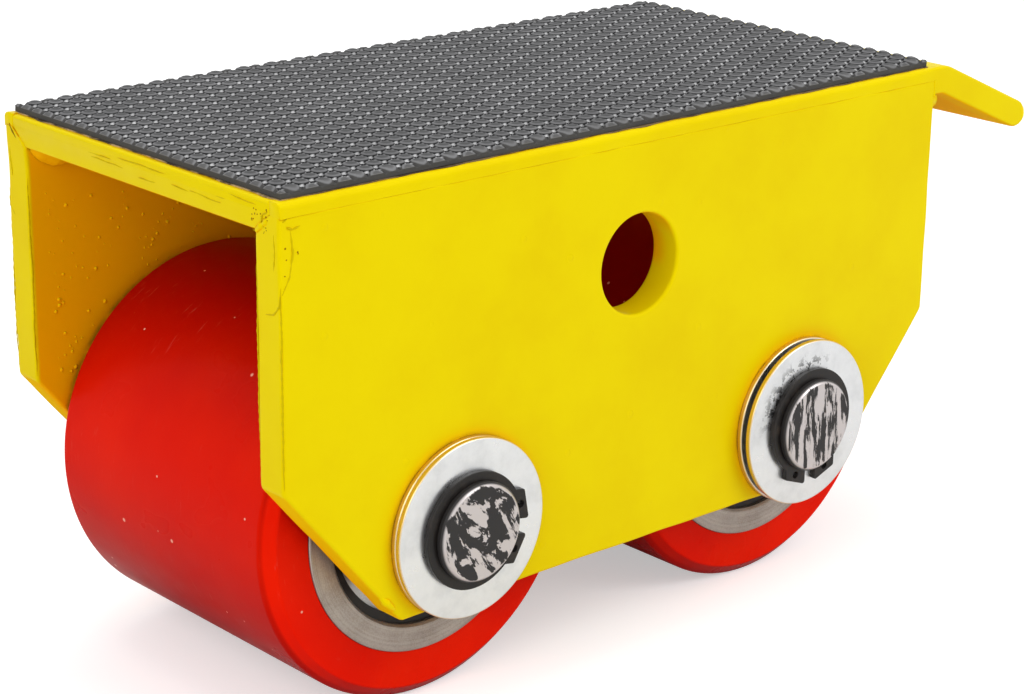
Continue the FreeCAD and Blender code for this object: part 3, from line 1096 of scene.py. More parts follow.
@dataclass(frozen=True)
class ZincPlate(Finish):
    """Bright zinc plating, brushed and finely scratched."""

    name: str = "zinc_plated_steel"
    slot: str = "zinc_plate"
    colour: Colour = (0.80, 0.81, 0.82, 1.0)
    dull: Colour = (0.62, 0.63, 0.64, 1.0)
    soot: Colour = (0.06, 0.06, 0.06, 1.0)
    golden: Colour = (0.80, 0.55, 0.20, 1.0)
    rim_radius: float = 18.0 * MM
    smear: float = 0.0

    def dress(self, graph: ShaderGraph) -> None:
        """Makes the plating: cloudy zinc, a painted golden reflection on the rim, scratches each way and,
        where asked, a smear of black specks.

        Args:
            graph: The material's graph.
        """
        clouds = graph.noise(graph.place, 130.0, 5.0, 0.65)
        cover = graph.mix(graph.ramp(clouds, 0.4, 0.75, 0.0, 0.7), self.colour, self.dull)
        # Painted reflection: a golden tint on the outer rim for the yellow frame mirrored in it.
        rim = (self.rim_radius - 0.3 * MM, self.rim_radius - 0.05 * MM)
        cover = graph.mix(graph.ramp(graph.radius(), *rim, 0.0, 0.75), cover, self.golden)
        if self.smear:
            cover = graph.mix(self.smear_mask(graph), cover, self.soot)
        ways = ((2600.0, 90.0, 90.0), (90.0, 90.0, 2200.0))
        fine = [graph.noise(graph.stretched(way, 0.5), 1.0, 2.0, 0.7) for way in ways]
        scratches = graph.greatest(*(graph.ramp(line, 0.6, 0.75) for line in fine))
        normal = graph.bump(scratches, 0.01 * MM, 0.4)
        normal = graph.bump(clouds, 0.03 * MM, 0.2, normal)
        gloss = graph.ramp(clouds, 0.3, 0.7, 0.26, 0.4)
        graph.shade(cover, gloss, normal, {"Metallic": 1.0})

    def smear_mask(self, graph: ShaderGraph) -> NodeSocket:
        """Smear of black specks above and behind the circlip.

        Args:
            graph: The material's graph.

        Returns:
            Socket that is 1 in the smear.
        """
        ring = graph.ramp(graph.radius(), 16.5 * MM, 12.5 * MM)
        angle = graph.angle()
        side = graph.product(graph.ramp(angle, 0.9, 1.6), graph.ramp(angle, 3.3, 2.7))
        spots = graph.noise(graph.place, 620.0, 3.0, 0.7)
        return graph.product(ring, side, self.smear, graph.ramp(spots, 0.48, 0.56))


@dataclass(frozen=True)
class BlackOxide(Finish):
    """Blackened spring steel with a brownish bloom."""

    name: str = "blackened_spring_steel"
    slot: str = "blackened_steel"
    colour: Colour = (0.010, 0.008, 0.007, 1.0)
    bloom: Colour = (0.030, 0.022, 0.017, 1.0)

    def dress(self, graph: ShaderGraph) -> None:
        """Makes the blackened steel: brown bloom and a fine tumbled grain.

        Args:
            graph: The material's graph.
        """
        bloom = graph.noise(graph.place, 300.0, 4.0, 0.65)
        colour = graph.mix(graph.ramp(bloom, 0.45, 0.75), self.colour, self.bloom)
        grain = graph.noise(graph.place, 2400.0, 2.0)
        normal = graph.bump(grain, 0.02 * MM, 0.4)
        gloss = graph.ramp(bloom, 0.3, 0.7, 0.32, 0.5)
        graph.shade(colour, gloss, normal, {"Specular IOR Level": 0.3})


@dataclass(frozen=True)
class WornAxleSteel(Finish):
    """Black coated axle whose end faces are knocked bare in places."""

    name: str = "worn_axle_steel"
    slot: str = "axle_steel"
    half_length: float = 50.0 * MM
    wear: Wear = Wear.BLOTCHED
    coat: Colour = (0.020, 0.018, 0.018, 1.0)
    bare: Colour = (0.60, 0.555, 0.55, 1.0)
    radius: float = 10.0 * MM

    def dress(self, graph: ShaderGraph) -> None:
        """Makes the axle: black coat, and bare steel where the end faces have lost it.

        Args:
            graph: The material's graph.
        """
        if self.wear is Wear.STRIPED:
            pattern = graph.noise(graph.stretched((520.0, 60.0, 80.0), 0.05), 1.0, 6.0, 0.68, 0.3)
            lost = graph.ramp(pattern, 0.49, 0.52)
        else:
            pattern = graph.noise(graph.stretched((290.0, 60.0, 130.0), 0.6), 1.0, 6.0, 0.66, 0.5)
            lost = graph.ramp(pattern, 0.515, 0.54)
        ragged = graph.math("MULTIPLY_ADD", pattern, 4.0 * MM, graph.radius())
        rim = graph.ramp(ragged, self.radius + 0.9 * MM, self.radius + 1.2 * MM)
        lost = graph.greatest(lost, rim)
        depth = graph.math("ABSOLUTE", graph.axes[1])
        face = graph.ramp(depth, self.half_length - 0.5 * MM, self.half_length - 0.1 * MM)
        bare = graph.product(lost, face)
        colour = graph.mix(bare, self.coat, self.bare)
        lines = graph.noise(graph.stretched((1800.0, 300.0, 200.0), 0.35), 1.0, 2.0)
        normal = graph.bump(bare, -0.06 * MM, 0.7)
        normal = graph.bump(lines, 0.02 * MM, 0.4, normal)
        gloss = graph.ramp(bare, 0.0, 1.0, 0.5, 0.34)
        others = {"Metallic": graph.product(bare, 0.9), "Specular IOR Level": 0.3}
        graph.shade(colour, gloss, normal, others)


@dataclass(frozen=True)
class PressedSteel(Finish):
    """Smooth bearing sheet or ground ring, with a trace of grease."""

    name: str = "ground_bearing_steel"
    slot: str = "bearing_steel"
    colour: Colour = (0.46, 0.46, 0.47, 1.0)
    grease: Colour = (0.12, 0.09, 0.05, 1.0)

    def dress(self, graph: ShaderGraph) -> None:
        """Makes the steel: ground grain and greasy patches.

        Args:
            graph: The material's graph.
        """
        patches = graph.noise(graph.place, 140.0, 4.0, 0.6)
        colour = graph.mix(graph.ramp(patches, 0.55, 0.75, 0.0, 0.8), self.colour, self.grease)
        grain = graph.noise(graph.place, 3000.0, 2.0)
        normal = graph.bump(grain, 0.01 * MM, 0.4)
        gloss = graph.ramp(patches, 0.3, 0.7, 0.24, 0.4)
        graph.shade(colour, gloss, normal, {"Metallic": 0.9})


@functools.cache
def material_of(finish: Finish) -> Material:
    """The finish's material, made on first use."""
    return finish.material()


def add_piece(name: str, mesh: Mesh, body: str, finish: Finish, *nodes: str) -> Object:
    """Puts a mesh in the scene as a piece of the skate.

    Args:
        name: The piece's name.
        mesh: Its mesh, in place.
        body: The body that it moves with.
        finish: What its surface is.
        nodes: The solids that it stands for.

    Returns:
        The piece.
    """
    mesh.materials.clear()
    mesh.materials.append(material_of(finish))
    piece = in_scene(name, mesh)
    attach(piece, body)
    if nodes:
        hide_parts(*nodes)
    LOG.info("%s: %d faces, on %s", name, len(mesh.polygons), body)
    return piece


def axis_of(node: str) -> Vector:
    """Middle of a node's box, which is on its axle line for a turned piece."""
    low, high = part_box(node)
    return (low + high) / 2


def radius_of(node: str) -> float:
    """Half the height of a node's box, which is a turned piece's radius."""
    low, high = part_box(node)
    return (high.z - low.z) / 2


def mount(name: str) -> dict:
    """The record's entry for one of the skate's mounts."""
    return next(entry for entry in frame["record"]["mounts"] if entry["name"] == name)


# Sub-assemblies


@dataclass(frozen=True)
class Bead:
    """Shape of a bead of weld or thick paint.

    Attributes:
        ripple: Height of its ripples, as a share of the radius.
        pitch: Length of a ripple.
        wander: How far it strays from its path.
        unevenness: Height of its lumps.
        taper: Share of its length that thins out at each end.
        step: Length of a step along it.
        sides: Steps round it.
    """

    ripple: float
    pitch: float
    wander: float
    unevenness: float
    taper: float
    step: float
    sides: int


class BeadKind(Enum):
    """Kinds of bead on the frame, with their shapes."""

    INNER_WELD = Bead(0.05, 2.6 * MM, 0.5 * MM, 0.5 * MM, 0.012, 0.6 * MM, 24)
    LIP_WELD = Bead(0.06, 2.2 * MM, 0.2 * MM, 0.6 * MM, 0.08, 0.4 * MM, 20)
    SLIT = Bead(0.1, 1.6 * MM, 0.1 * MM, 0.1 * MM, 0.4, 0.3 * MM, 8)
    MITRE = Bead(0.2, 1.6 * MM, 0.5 * MM, 0.7 * MM, 0.25, 0.3 * MM, 12)
    ROOT = Bead(0.02, 5.0 * MM, 0.1 * MM, 0.3 * MM, 0.35, 0.3 * MM, 40)
    DRIP = Bead(0.05, 2.0 * MM, 0.1 * MM, 0.5 * MM, 0.45, 0.3 * MM, 16)
    JOINT = Bead(0.02, 2.0 * MM, 0.05 * MM, 0.1 * MM, 0.1, 0.3 * MM, 12)
    RIDGE = Bead(0.25, 1.7 * MM, 0.3 * MM, 0.2 * MM, 0.3, 0.35 * MM, 8)
    CRACK = Bead(0.1, 2.1 * MM, 0.4 * MM, 0.15 * MM, 0.4, 0.3 * MM, 8)


@dataclass
class Weldment:
    """Yellow frame: a top plate bent into a lip, two side plates and the welds that join them.

    Attributes:
        body: The body that the frame is.
        edge: Radius of the painted edges.
        chamfer_length: Length of the clipped lower corners.
        chamfer_height: Height of the clipped lower corners.
        corner_radius: Radius at the ends of the clips.
        lip_angle: How far the lip is bent down, in degrees.
        bend_radius: Inside radius of the bend.
        waver: How far a cut edge strays.
        wave_length: Length of a wave in a cut edge.
        ground_edge: Radius of the ground corner welds.
        front_cracks: How many cracks the paint has on the front edge of the top plate.
        end_swell: How far the corner welds swell at the open end.
        swell_length: Length of that swell.
        axle_hole_clearance: Room round an axle in its hole.
        inner_weld_share: Radius of the inner welds as a share of their height.
        lip_weld_share: Radius of the lip's welds as a share of their length along X.
        smallest_drop: Radius of the smallest drops and pits.
        drop_flatness: Height of a drop as a share of its radius.
    """

    body: str = "frame"
    edge: float = 0.6 * MM
    chamfer_length: float = 27.0 * MM
    chamfer_height: float = 32.0 * MM
    corner_radius: float = 2.0 * MM
    lip_angle: float = 24.0
    bend_radius: float = 3.0 * MM
    waver: float = 0.2 * MM
    wave_length: float = 9.0 * MM
    ground_edge: float = 1.3 * MM
    front_cracks: int = 11
    end_swell: float = 0.45 * MM
    swell_length: float = 6.0 * MM
    axle_hole_clearance: float = 0.1 * MM
    inner_weld_share: float = 0.82
    lip_weld_share: float = 0.9
    smallest_drop: float = 0.15 * MM
    drop_flatness: float = 0.65

    def __post_init__(self) -> None:
        """Reads the frame's places from the solids and mixes its paints."""
        self.beads = BeadTree()
        self.blisters = BlisterTree()
        self.plate_low, self.plate_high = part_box("right_side_plate")
        self.top_low, self.top_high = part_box("top_plate")
        self.weld_low, self.weld_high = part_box("right_inner_weld")
        self.corner_low, self.corner_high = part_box("right_corner_weld")
        self.half_width = -self.plate_low.y
        self.inner_half_width = -self.plate_high.y
        self.thickness = self.top_high.z - self.weld_high.z
        self.weld_edge = -self.corner_high.y
        self.finish = YellowEnamel(
            inner_half_width=self.inner_half_width,
            underside=self.weld_high.z,
            open_end=self.plate_low.x,
        )
        olive, umber = (0.60, 0.46, 0.001, 1.0), (0.22, 0.14, 0.003, 1.0)
        parts = ("colour", "thin_colour", "inner_colour", "grime")
        # Olive paint for the runs and cracks, standing for soil and the painted shade along them.
        self.grimy = YellowEnamel("grimy_paint_run", **dict.fromkeys(parts, olive))
        # Umber paint for the pits and the slit: painted shade of their hollows, on drops that stand out.
        self.pitted = YellowEnamel("pit_in_paint", **dict.fromkeys(parts[:2], umber))

    def build(self) -> None:
        """Builds and dresses every piece of the frame."""
        add_piece("painted_top_plate", self.top_plate(), self.body, self.finish, "top_plate")
        for side in Side:
            nodes = [f"{side.label}_{kind}" for kind in ("side_plate", "corner_weld", "inner_weld")]
            add_piece(f"painted_{nodes[0]}", self.side_plate(side), self.body, self.finish, nodes[0])
            add_piece(f"ground_{nodes[1]}", self.corner_weld(side), self.body, self.finish, nodes[1])
            add_piece(f"rippled_{nodes[2]}", self.inner_weld(side), self.body, self.finish, nodes[2])
            add_piece(f"paint_blisters_{side.label}", self.paint_blisters(side), self.body, self.finish)
        add_piece("rippled_lip_welds", self.lip_welds(), self.body, self.finish, "lip_welds")
        # Olive runs and cracks: soil and painted shade along the edges.
        add_piece("paint_ridges", self.paint_ridges(), self.body, self.grimy)
        add_piece("paint_lumps", self.paint_lumps(), self.body, self.finish)
        add_piece("paint_pits", self.paint_pits(), self.body, self.pitted)

    def bead(self, points: Sequence[Vector], radius: float, kind: BeadKind, seed: float) -> Mesh:
        """Bead of weld or paint along a path.

        Args:
            points: The path.
            radius: The bead's radius.
            kind: What kind of bead it is.
            seed: Place in the noise.

        Returns:
            The bead.
        """
        values = {label.capitalize(): value for label, value in asdict(kind.value).items()}
        values |= {"Radius": radius, "Seed": seed, "Material": material_of(self.finish)}
        return self.beads.run(polyline("path", points), values)

    def corner_point(self, side: Side, back: float, inwards: float, down: float) -> Vector:
        """Point by millimetres behind, inside and below a side's front top corner."""
        y = side.value * self.half_width - side.value * inwards * MM
        return Vector((self.plate_low.x + back * MM, y, self.top_high.z - down * MM))

    def top_plate(self) -> Mesh:
        """Top plate, mitred to the side plates and bent into a round-nosed lip.

        Returns:
            The plate.
        """
        half = self.thickness / 2
        lip_turn = math.radians(self.lip_angle)
        bend_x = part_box("lip_welds")[1].x
        middle_radius = self.bend_radius + half
        bend_length = middle_radius * lip_turn
        reach = self.top_high.x - bend_x - half - middle_radius * math.sin(lip_turn)
        lip_length = reach / math.cos(lip_turn)
        middle_z = self.top_high.z - half
        # Each station: distance past the bend's start, half widths at the top, the welds' root and
        # the bottom, how far its outline is drawn in, and the share of the thickness that is left
        narrow = (self.weld_edge, self.weld_edge, self.inner_half_width)
        wide = (self.half_width,) * 3
        start = self.top_low.x - bend_x
        joint = self.plate_high.x - bend_x
        turns = [math.pi / 6 * step for step in (3, 2, 1, 0)]
        rise = [(self.edge * (1 - math.sin(turn)), self.edge * (1 - math.cos(turn))) for turn in turns]
        stations = [(start + along, narrow, inset, 1.0) for along, inset in rise]
        stations += [(start + 2 * self.edge, narrow, 0.0, 1.0), (joint, narrow, 0.0, 1.0)]
        stations += [(joint, wide, 0.0, 1.0), (joint + self.edge, wide, 0.0, 1.0)]
        stations += [(bend_length * step / 8, wide, 0.0, 1.0) for step in range(9)]
        stations += [(bend_length + lip_length * step / 4, wide, 0.0, 1.0) for step in range(1, 5)]
        end = bend_length + lip_length
        turns = [math.pi / 2 * step / 8 for step in range(1, 9)]
        stations += [(end + half * math.sin(turn), wide, 0.0, math.cos(turn)) for turn in turns]
        sections = []
        for along, widths, inset, squeeze in stations:
            right = list(zip(widths, (half, self.corner_low.z - middle_z, -half)))
            corners = right + [(-across, up) for across, up in reversed(right)]
            outline = rounded([(*corner, self.edge) for corner in corners], 3, self.edge / 2)
            outline = turned_to(outline, True)
            bent = min(max(along / middle_radius, 0.0), lip_turn)
            flat = min(along, 0.0)
            past = max(along - bend_length, 0.0)
            ring = []
            for point, way in zip(outline, inward(outline)):
                moved = point + way * inset
                moved.y *= squeeze
                radius = middle_radius + moved.y
                x = bend_x + flat + radius * math.sin(bent) + past * math.cos(bent)
                z = middle_z - middle_radius + radius * math.cos(bent) - past * math.sin(bent)
                ring.append(Vector((x, moved.x, z)))
            sections.append(ring)
        return loft("top_plate_mesh", sections)

    def side_plate(self, side: Side) -> Mesh:
        """Side plate with clipped corners, its holes and the mitre under the top plate.

        Args:
            side: Which plate.

        Returns:
            The plate.
        """
        low, high = self.plate_low, self.plate_high
        clip_top = low.z + self.chamfer_height
        corners = [
            (low.x, high.z, 0.0),
            (low.x, clip_top, self.corner_radius),
            (low.x + self.chamfer_length, low.z, self.corner_radius),
            (high.x - self.chamfer_length, low.z, self.corner_radius),
            (high.x, clip_top, self.corner_radius),
            (high.x, high.z, 0.0),
        ]
        outline = turned_to(resampled(rounded(corners, 5), 2.0 * MM), True)
        rim = wavered(outline, self.waver, self.wave_length, seed=side.value)
        bore = mount("tie_bar_bore")
        x, _, z = bore["pos_m"]
        holes = [circle(x, z, bore["dims"]["r_mm"] * MM, 96)]
        for end in End:
            axle = f"{end.value}_axle"
            middle, radius = axis_of(axle), radius_of(axle) + self.axle_hole_clearance
            holes.append(circle(middle.x, middle.z, radius, 72))
        span = sorted((side.value * self.inner_half_width, side.value * self.half_width))
        between = sorted((side.value * self.weld_edge, side.value * (self.weld_edge - MM)))
        mesh = prism("side_plate_mesh", [rim, *holes], tuple(span), self.edge, across_y, between)
        slope = (self.corner_low.z - self.weld_high.z) / (self.weld_edge - self.inner_half_width)
        for vertex in mesh.vertices:
            drop = max(0.0, self.weld_edge - abs(vertex.co.y)) * slope
            share = min(1.0, max(0.0, (vertex.co.z - self.weld_low.z) / (high.z - self.weld_low.z)))
            vertex.co.z -= drop * share
        return mesh

    def corner_weld(self, side: Side) -> Mesh:
        """Outer weld, ground to a blunt edge, uneven under the paint and swollen at the open end.

        Args:
            side: Which side's weld.

        Returns:
            The weld.
        """
        low, high = self.corner_low, self.corner_high
        overlap, step = 0.3 * MM, 1.5 * MM
        fading, blunting = 4.0 * MM, 9.0 * MM
        count = int((high.x - low.x) / step)
        stations = [(0.0, 0.3 * MM), (0.1 * MM, 0.1 * MM), (0.35 * MM, 0.0)]
        stations += [(step * number, 0.0) for number in range(1, count + 1)]
        stations.append((high.x - low.x + overlap, 0.0))
        sections = []
        for along, inset in stations:
            x = low.x + along
            ripple = noise.noise(Vector((x * 170.0, 5.0 * side.value, 0.0))) * self.waver
            ripple += self.end_swell * max(0.0, 1.0 - along / self.swell_length) ** 2
            to_lip = high.x + overlap - x
            ripple *= min(1.0, to_lip / fading)
            outside, top = self.half_width + ripple, high.z + ripple / 2
            blunt = self.edge + (self.ground_edge - self.edge) * min(1.0, to_lip / blunting)
            inside, root = self.weld_edge - overlap, low.z - overlap
            corners = [(inside, root, 0.0), (outside, root, 0.0), (outside, top, blunt), (inside, top, 0.0)]
            outline = turned_to(rounded(corners, 6), True)
            moved = [point + way * inset for point, way in zip(outline, inward(outline))]
            sections.append([Vector((x, side.value * point.x, point.y)) for point in moved])
        return loft("corner_weld_mesh", sections)

    def inner_weld(self, side: Side) -> Mesh:
        """Inner fillet weld, left with its ripples.

        Args:
            side: Which side's weld.

        Returns:
            The weld.
        """
        radius = (self.weld_high.z - self.weld_low.z) * self.inner_weld_share
        y = side.value * self.inner_half_width
        points = [Vector((x, y, self.weld_high.z)) for x in (self.weld_low.x, self.weld_high.x)]
        return self.bead(points, radius, BeadKind.INNER_WELD, 3.0 + side.value)

    def lip_welds(self) -> Mesh:
        """Short fillet welds where the lip end of each side plate meets the top plate.

        Returns:
            Both welds.
        """
        low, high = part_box("lip_welds")
        radius = (high.x - low.x) * self.lip_weld_share
        welds = []
        for side in Side:
            ends = (self.inner_half_width + 0.2 * MM, self.half_width - 0.3 * MM)
            path = [Vector((low.x, side.value * y, high.z - radius * 0.5)) for y in ends]
            welds.append(self.bead(path, radius, BeadKind.LIP_WELD, 8.0 + side.value))
        return joined(welds, "lip_welds_mesh")

    def paint_blisters(self, side: Side) -> Mesh:
        """Blisters and runs of paint on the inner face of a side plate.

        Args:
            side: Which plate.

        Returns:
            The blisters.
        """
        margin = 4.0 * MM
        corners = [
            (self.plate_low.x + margin, self.weld_low.z - margin),
            (self.plate_low.x + margin, self.plate_low.z + self.chamfer_height),
            (self.plate_low.x + self.chamfer_length + margin, self.plate_low.z + margin),
            (self.plate_high.x - margin, self.plate_low.z + self.chamfer_height),
            (self.plate_high.x - margin, self.weld_low.z - margin),
        ]
        bore = mount("tie_bar_bore")
        x, _, z = bore["pos_m"]
        hole = circle(x, z, bore["dims"]["r_mm"] * MM + margin / 2, 24)
        loops = [[Vector(corner) for corner in corners], hole]
        depth = side.value * self.inner_half_width
        return self.scatter(loops, depth, across_y, density=1e5, largest=0.5 * MM, seed=11 + side.value)

    def scatter(
        self,
        loops: Sequence[Outline],
        depth: float,
        place: Placer,
        density: float,
        largest: float,
        seed: int,
    ) -> Mesh:
        """Scatters small drops over a flat area.

        Args:
            loops: The area's rim and holes.
            depth: Depth of the area.
            place: Puts two coordinates and a depth in space.
            density: Drops to the square metre.
            largest: Radius of the largest drop.
            seed: Seed of the scatter.

        Returns:
            The drops.
        """
        values = {"Density": density, "Smallest": self.smallest_drop, "Largest": largest}
        values |= {"Flatness": self.drop_flatness, "Seed": seed, "Material": material_of(self.finish)}
        return self.blisters.run(sheet("scatter_area", loops, depth, place), values)

    def paint_pits(self) -> Mesh:
        """Dark pits in the paint round the right front top corner and a slit at the left one, raised and
        coloured as painted shade.

        Returns:
            The pits and the slit.
        """
        front, top = self.plate_low.x, self.corner_low.z
        right = -self.half_width

        def patch(first: float, second: float, width: float, height: float) -> list[Outline]:
            """Oblong area from its upper corner, as a rim without holes."""
            corners = oblong((first, second), (first + width, second - height))
            return [[Vector(corner[:2]) for corner in corners]]

        def along_x(first: float, second: float, depth: float) -> Vector:
            """Places an outline drawn in Y and Z at a depth along X."""
            return Vector((depth, first, second))

        on_side = patch(front + 0.6 * MM, top, 4.0 * MM, 12.0 * MM)
        on_front = patch(right + 3.2 * MM, top + 0.9 * MM, 4.6 * MM, 4.6 * MM)
        largest = 0.24 * MM
        pits = [self.scatter(on_side, right, across_y, density=1.4e5, largest=largest, seed=5)]
        pits.append(self.scatter(on_front, front, along_x, density=1.1e6, largest=largest, seed=6))
        slit = [self.corner_point(Side.LEFT, 0.0, *place) for place in ((1.4, 1.9), (4.0, 4.6))]
        pits.append(self.bead(slit, 0.3 * MM, BeadKind.SLIT, 3.0))
        return joined(pits, "paint_pits_mesh")

    def paint_lumps(self) -> Mesh:
        """Lumps of weld and paint at the front corners, and paint that fills the lip's joints.

        Returns:
            All the lumps.
        """
        lumps = []
        for side in Side:
            at = functools.partial(self.corner_point, side)
            mitre = [at(0.4, 2.6, 2.6), at(0.2, 4.4, 4.2), at(0.3, 7.0, 6.2)]
            if side is Side.LEFT:
                mitre = mitre[1:]
            root = [at(1.0, 6.9, 6.0), at(4.0, 6.7, 5.9), at(14.0, 6.4, 5.6)]
            drip = [at(21.8, 0.5, 79.1), at(24.2, 0.45, 81.9), at(26.0, 0.5, 83.8)]
            depth = side.value * (self.half_width - 0.3 * MM)
            heights = (self.weld_high.z - 0.6 * MM, self.top_high.z - 2.4 * MM)
            joint = [Vector((self.plate_high.x, depth, z)) for z in heights]
            lumps.append(self.bead(mitre, 0.55 * MM, BeadKind.MITRE, 61.0 + side.value))
            lumps.append(self.bead(root, 4.6 * MM, BeadKind.ROOT, 67.0 + side.value))
            lumps.append(self.bead(drip, 0.95 * MM, BeadKind.DRIP, 73.0 + side.value))
            lumps.append(self.bead(joint, 0.4 * MM, BeadKind.JOINT, 70.0 + side.value))
        return joined(lumps, "paint_lumps_mesh")

    def paint_ridges(self) -> Mesh:
        """Fine ridges where the paint has run and gathered along the cut edges and the front corners.

        Returns:
            All the ridges.
        """
        clip_top = self.plate_low.z + self.chamfer_height
        above_clip = (self.top_high.z - clip_top) / MM - 1.0
        ridges = []
        for number, side in enumerate(Side):
            at = functools.partial(self.corner_point, side)
            paths = [
                [at(0.25, 0.1, 16.0), at(0.2, 0.15, 34.0), at(0.25, 0.0, above_clip)],
                [at(0.3, 0.05, 15.0), at(0.1, 0.4, 18.6), at(0.0, 2.0, 20.4), at(0.0, 4.3, 20.8)],
                [at(2.4, 0.0, 5.0), at(3.0, 0.0, 9.0), at(2.2, 0.0, 13.5), at(0.5, 0.05, 16.5)],
                [at(0.0, 1.4, 5.6), at(0.0, 1.2, 9.0), at(0.0, 1.6, 12.5)],
            ]
            if side is Side.RIGHT:
                paths.append([at(0.0, 3.2, 2.2), at(0.0, 4.6, 2.8), at(0.0, 5.0, 4.2), at(0.0, 4.0, 5.2)])
                paths.append([at(0.6, 0.0, 3.4), at(1.8, 0.0, 2.9)])
                paths.append([at(1.6, 0.0, 4.4), at(2.8, 0.0, 5.0), at(4.6, 0.0, 4.6)])
            paths.append([at(0.2, 6.85, 12.0), at(0.15, 6.9, 30.0), at(0.2, 6.85, 53.0)])
            for place, path in enumerate(paths):
                seed = 20.0 + 7.0 * number + place
                ridges.append(self.bead(path, 0.16 * MM, BeadKind.RIDGE, seed))
        chance = random.Random(CRACK_SEED)
        for crack in range(self.front_cracks):
            start, length = chance.uniform(4.0, 74.0), chance.uniform(4.0, 14.0)
            down, slope = chance.uniform(1.2, 4.4), chance.uniform(-0.05, 0.05)
            steps = [(start + length * share, down + slope * length * share) for share in (0.0, 0.5, 1.0)]
            path = [self.corner_point(Side.RIGHT, 0.0, *place) for place in steps]
            ridges.append(self.bead(path, 0.11 * MM, BeadKind.CRACK, 50.0 + crack))
        return joined(ridges, "paint_ridges_mesh")


@dataclass
class GripMat:
    """Studded rubber pad glued on the top plate.

    Attributes:
        body: The body that it is glued to.
        stud_height: Height of a stud above the sheet.
        stud_radius: Radius of a stud's foot.
        column_pitch: Distance between columns of studs, along the skate.
        row_pitch: Distance between studs in a column.
        unevenness: How much the studs differ in size.
        edge_width: Width of the pad's edge that is pressed thinner.
        edge_press: Share of the thickness that it loses there.
        glue_waver: How far the glue's edge strays.
        glue_draw: How far the glue's edge lies in on average.
    """

    body: str = "frame"
    stud_height: float = 0.75 * MM
    stud_radius: float = 2.04 * MM
    column_pitch: float = 3.6 * MM
    row_pitch: float = 3.95 * MM
    unevenness: float = 0.03
    edge_width: float = 0.9 * MM
    edge_press: float = 0.3
    glue_waver: float = 0.8 * MM
    glue_draw: float = 0.1 * MM

    def build(self) -> None:
        """Builds and dresses the pad and its glue."""
        add_piece("studded_grip_pad", self.pad(), self.body, self.rubber(), "grip_pad")
        glue = DriedGlue(front=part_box("pad_glue")[0].x)
        add_piece("glue_line", self.glue(), self.body, glue, "pad_glue")

    def rubber(self) -> Finish:
        """Rubber whose pattern is centred on the pad and ends at its edges.

        Returns:
            The finish.
        """
        low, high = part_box("grip_pad")
        middle, half = (low + high) / 2, (high - low) / 2
        return GripRubber(middle=(middle.x, middle.y, high.z), half_size=(half.x, half.y))

    def stud(self) -> Object:
        """One low, soft-edged stud with its foot at z = 0, and dust with a painted glint where it meets two
        others, for the tree.

        Returns:
            The stud's object, which the caller removes.
        """
        rings = ((1.0, -0.1, 1.0), (0.92, 0.2, 0.8), (0.72, 0.75, 0.0), (0.4, 1.0, 0.0))
        sections = []
        dust = []
        heights = []
        for share, height, dusty in rings:
            outline = circle(0.0, 0.0, self.stud_radius * share, 12)
            sections.append([Vector((point.x, point.y, self.stud_height * height)) for point in outline])
            dust += [dusty, 0.0] * (len(outline) // 2)
            heights += [height] * len(outline)
        mesh = loft("stud_mesh", sections)
        for name, numbers in ((DUST_AND_GLINT_LAYER, dust), (HEIGHT_LAYER, heights)):
            layer = mesh.attributes.new(name, "FLOAT", "POINT")
            layer.data.foreach_set("value", numbers)
        return in_scene("stud_source", mesh)

    def pad(self) -> Mesh:
        """Rubber sheet with its staggered studs.

        Returns:
            The pad.
        """
        low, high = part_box("grip_pad")
        rim = resampled(rounded(oblong(low, high)), 2.0 * MM)
        rim = wavered(rim, height=0.15 * MM, length=12.0 * MM, seed=5.0)
        ground = high.z - self.stud_height
        base = prism("pad_sheet", [rim], (low.z, ground), 0.15 * MM, along_z)
        columns = int((high.x - low.x) / self.column_pitch) + 2
        rows = int((high.y - low.y) / self.row_pitch) + 2
        stud = self.stud()
        values = {"Stud": stud, "Columns": columns, "Rows": rows, "Column Pitch": self.column_pitch}
        centre = ((low.x + high.x) / 2, (low.y + high.y) / 2, ground)
        values |= {"Row Pitch": self.row_pitch, "Centre": centre, "Unevenness": self.unevenness}
        values |= {"Seed": STUD_SEED, "Material": material_of(self.rubber())}
        mesh = StudTree().run(base, values)
        bpy.data.objects.remove(stud)
        self.trim(mesh)
        return mesh

    def trim(self, mesh: Mesh) -> None:
        """Cuts the studs off at the pad's rim and presses its edge thinner.

        Args:
            mesh: The pad.
        """
        low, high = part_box("grip_pad")
        bm = bmesh.new()
        bm.from_mesh(mesh)
        height = bm.verts.layers.float[HEIGHT_LAYER]
        for axis, (corner, way) in itertools.product(range(2), ((low, -1.0), (high, 1.0))):
            normal = Vector()
            normal[axis] = way
            studs = [vertex for vertex in bm.verts if vertex[height]]
            studs += [item for item in (*bm.edges, *bm.faces) if item.verts[0][height]]
            cut = bmesh.ops.bisect_plane(
                bm, geom=studs, dist=0.001 * MM, plane_co=corner, plane_no=normal, clear_outer=True
            )
            edges = [item for item in cut["geom_cut"] if isinstance(item, bmesh.types.BMEdge)]
            bmesh.ops.edgeloop_fill(bm, edges=edges)
        for vertex in bm.verts:
            place = vertex.co
            room = min(place.x - low.x, high.x - place.x, place.y - low.y, high.y - place.y)
            pressed = self.edge_press * max(0.0, 1.0 - room / self.edge_width) ** 2
            place.z -= pressed * (place.z - low.z)
        bm.to_mesh(mesh)
        bm.free()

    def glue(self) -> Mesh:
        """Thin film of glue with a ragged edge.

        Returns:
            The film.
        """
        low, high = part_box("pad_glue")
        inset = Vector((self.glue_draw, self.glue_draw, 0.0))
        low, high = low + inset, high - inset
        rim = resampled(rounded(oblong(low, high)), 0.8 * MM)
        rim = wavered(rim, self.glue_waver, length=6.0 * MM, seed=2.0)
        return prism("glue_film", [rim], (low.z, high.z), 0.05 * MM, along_z)


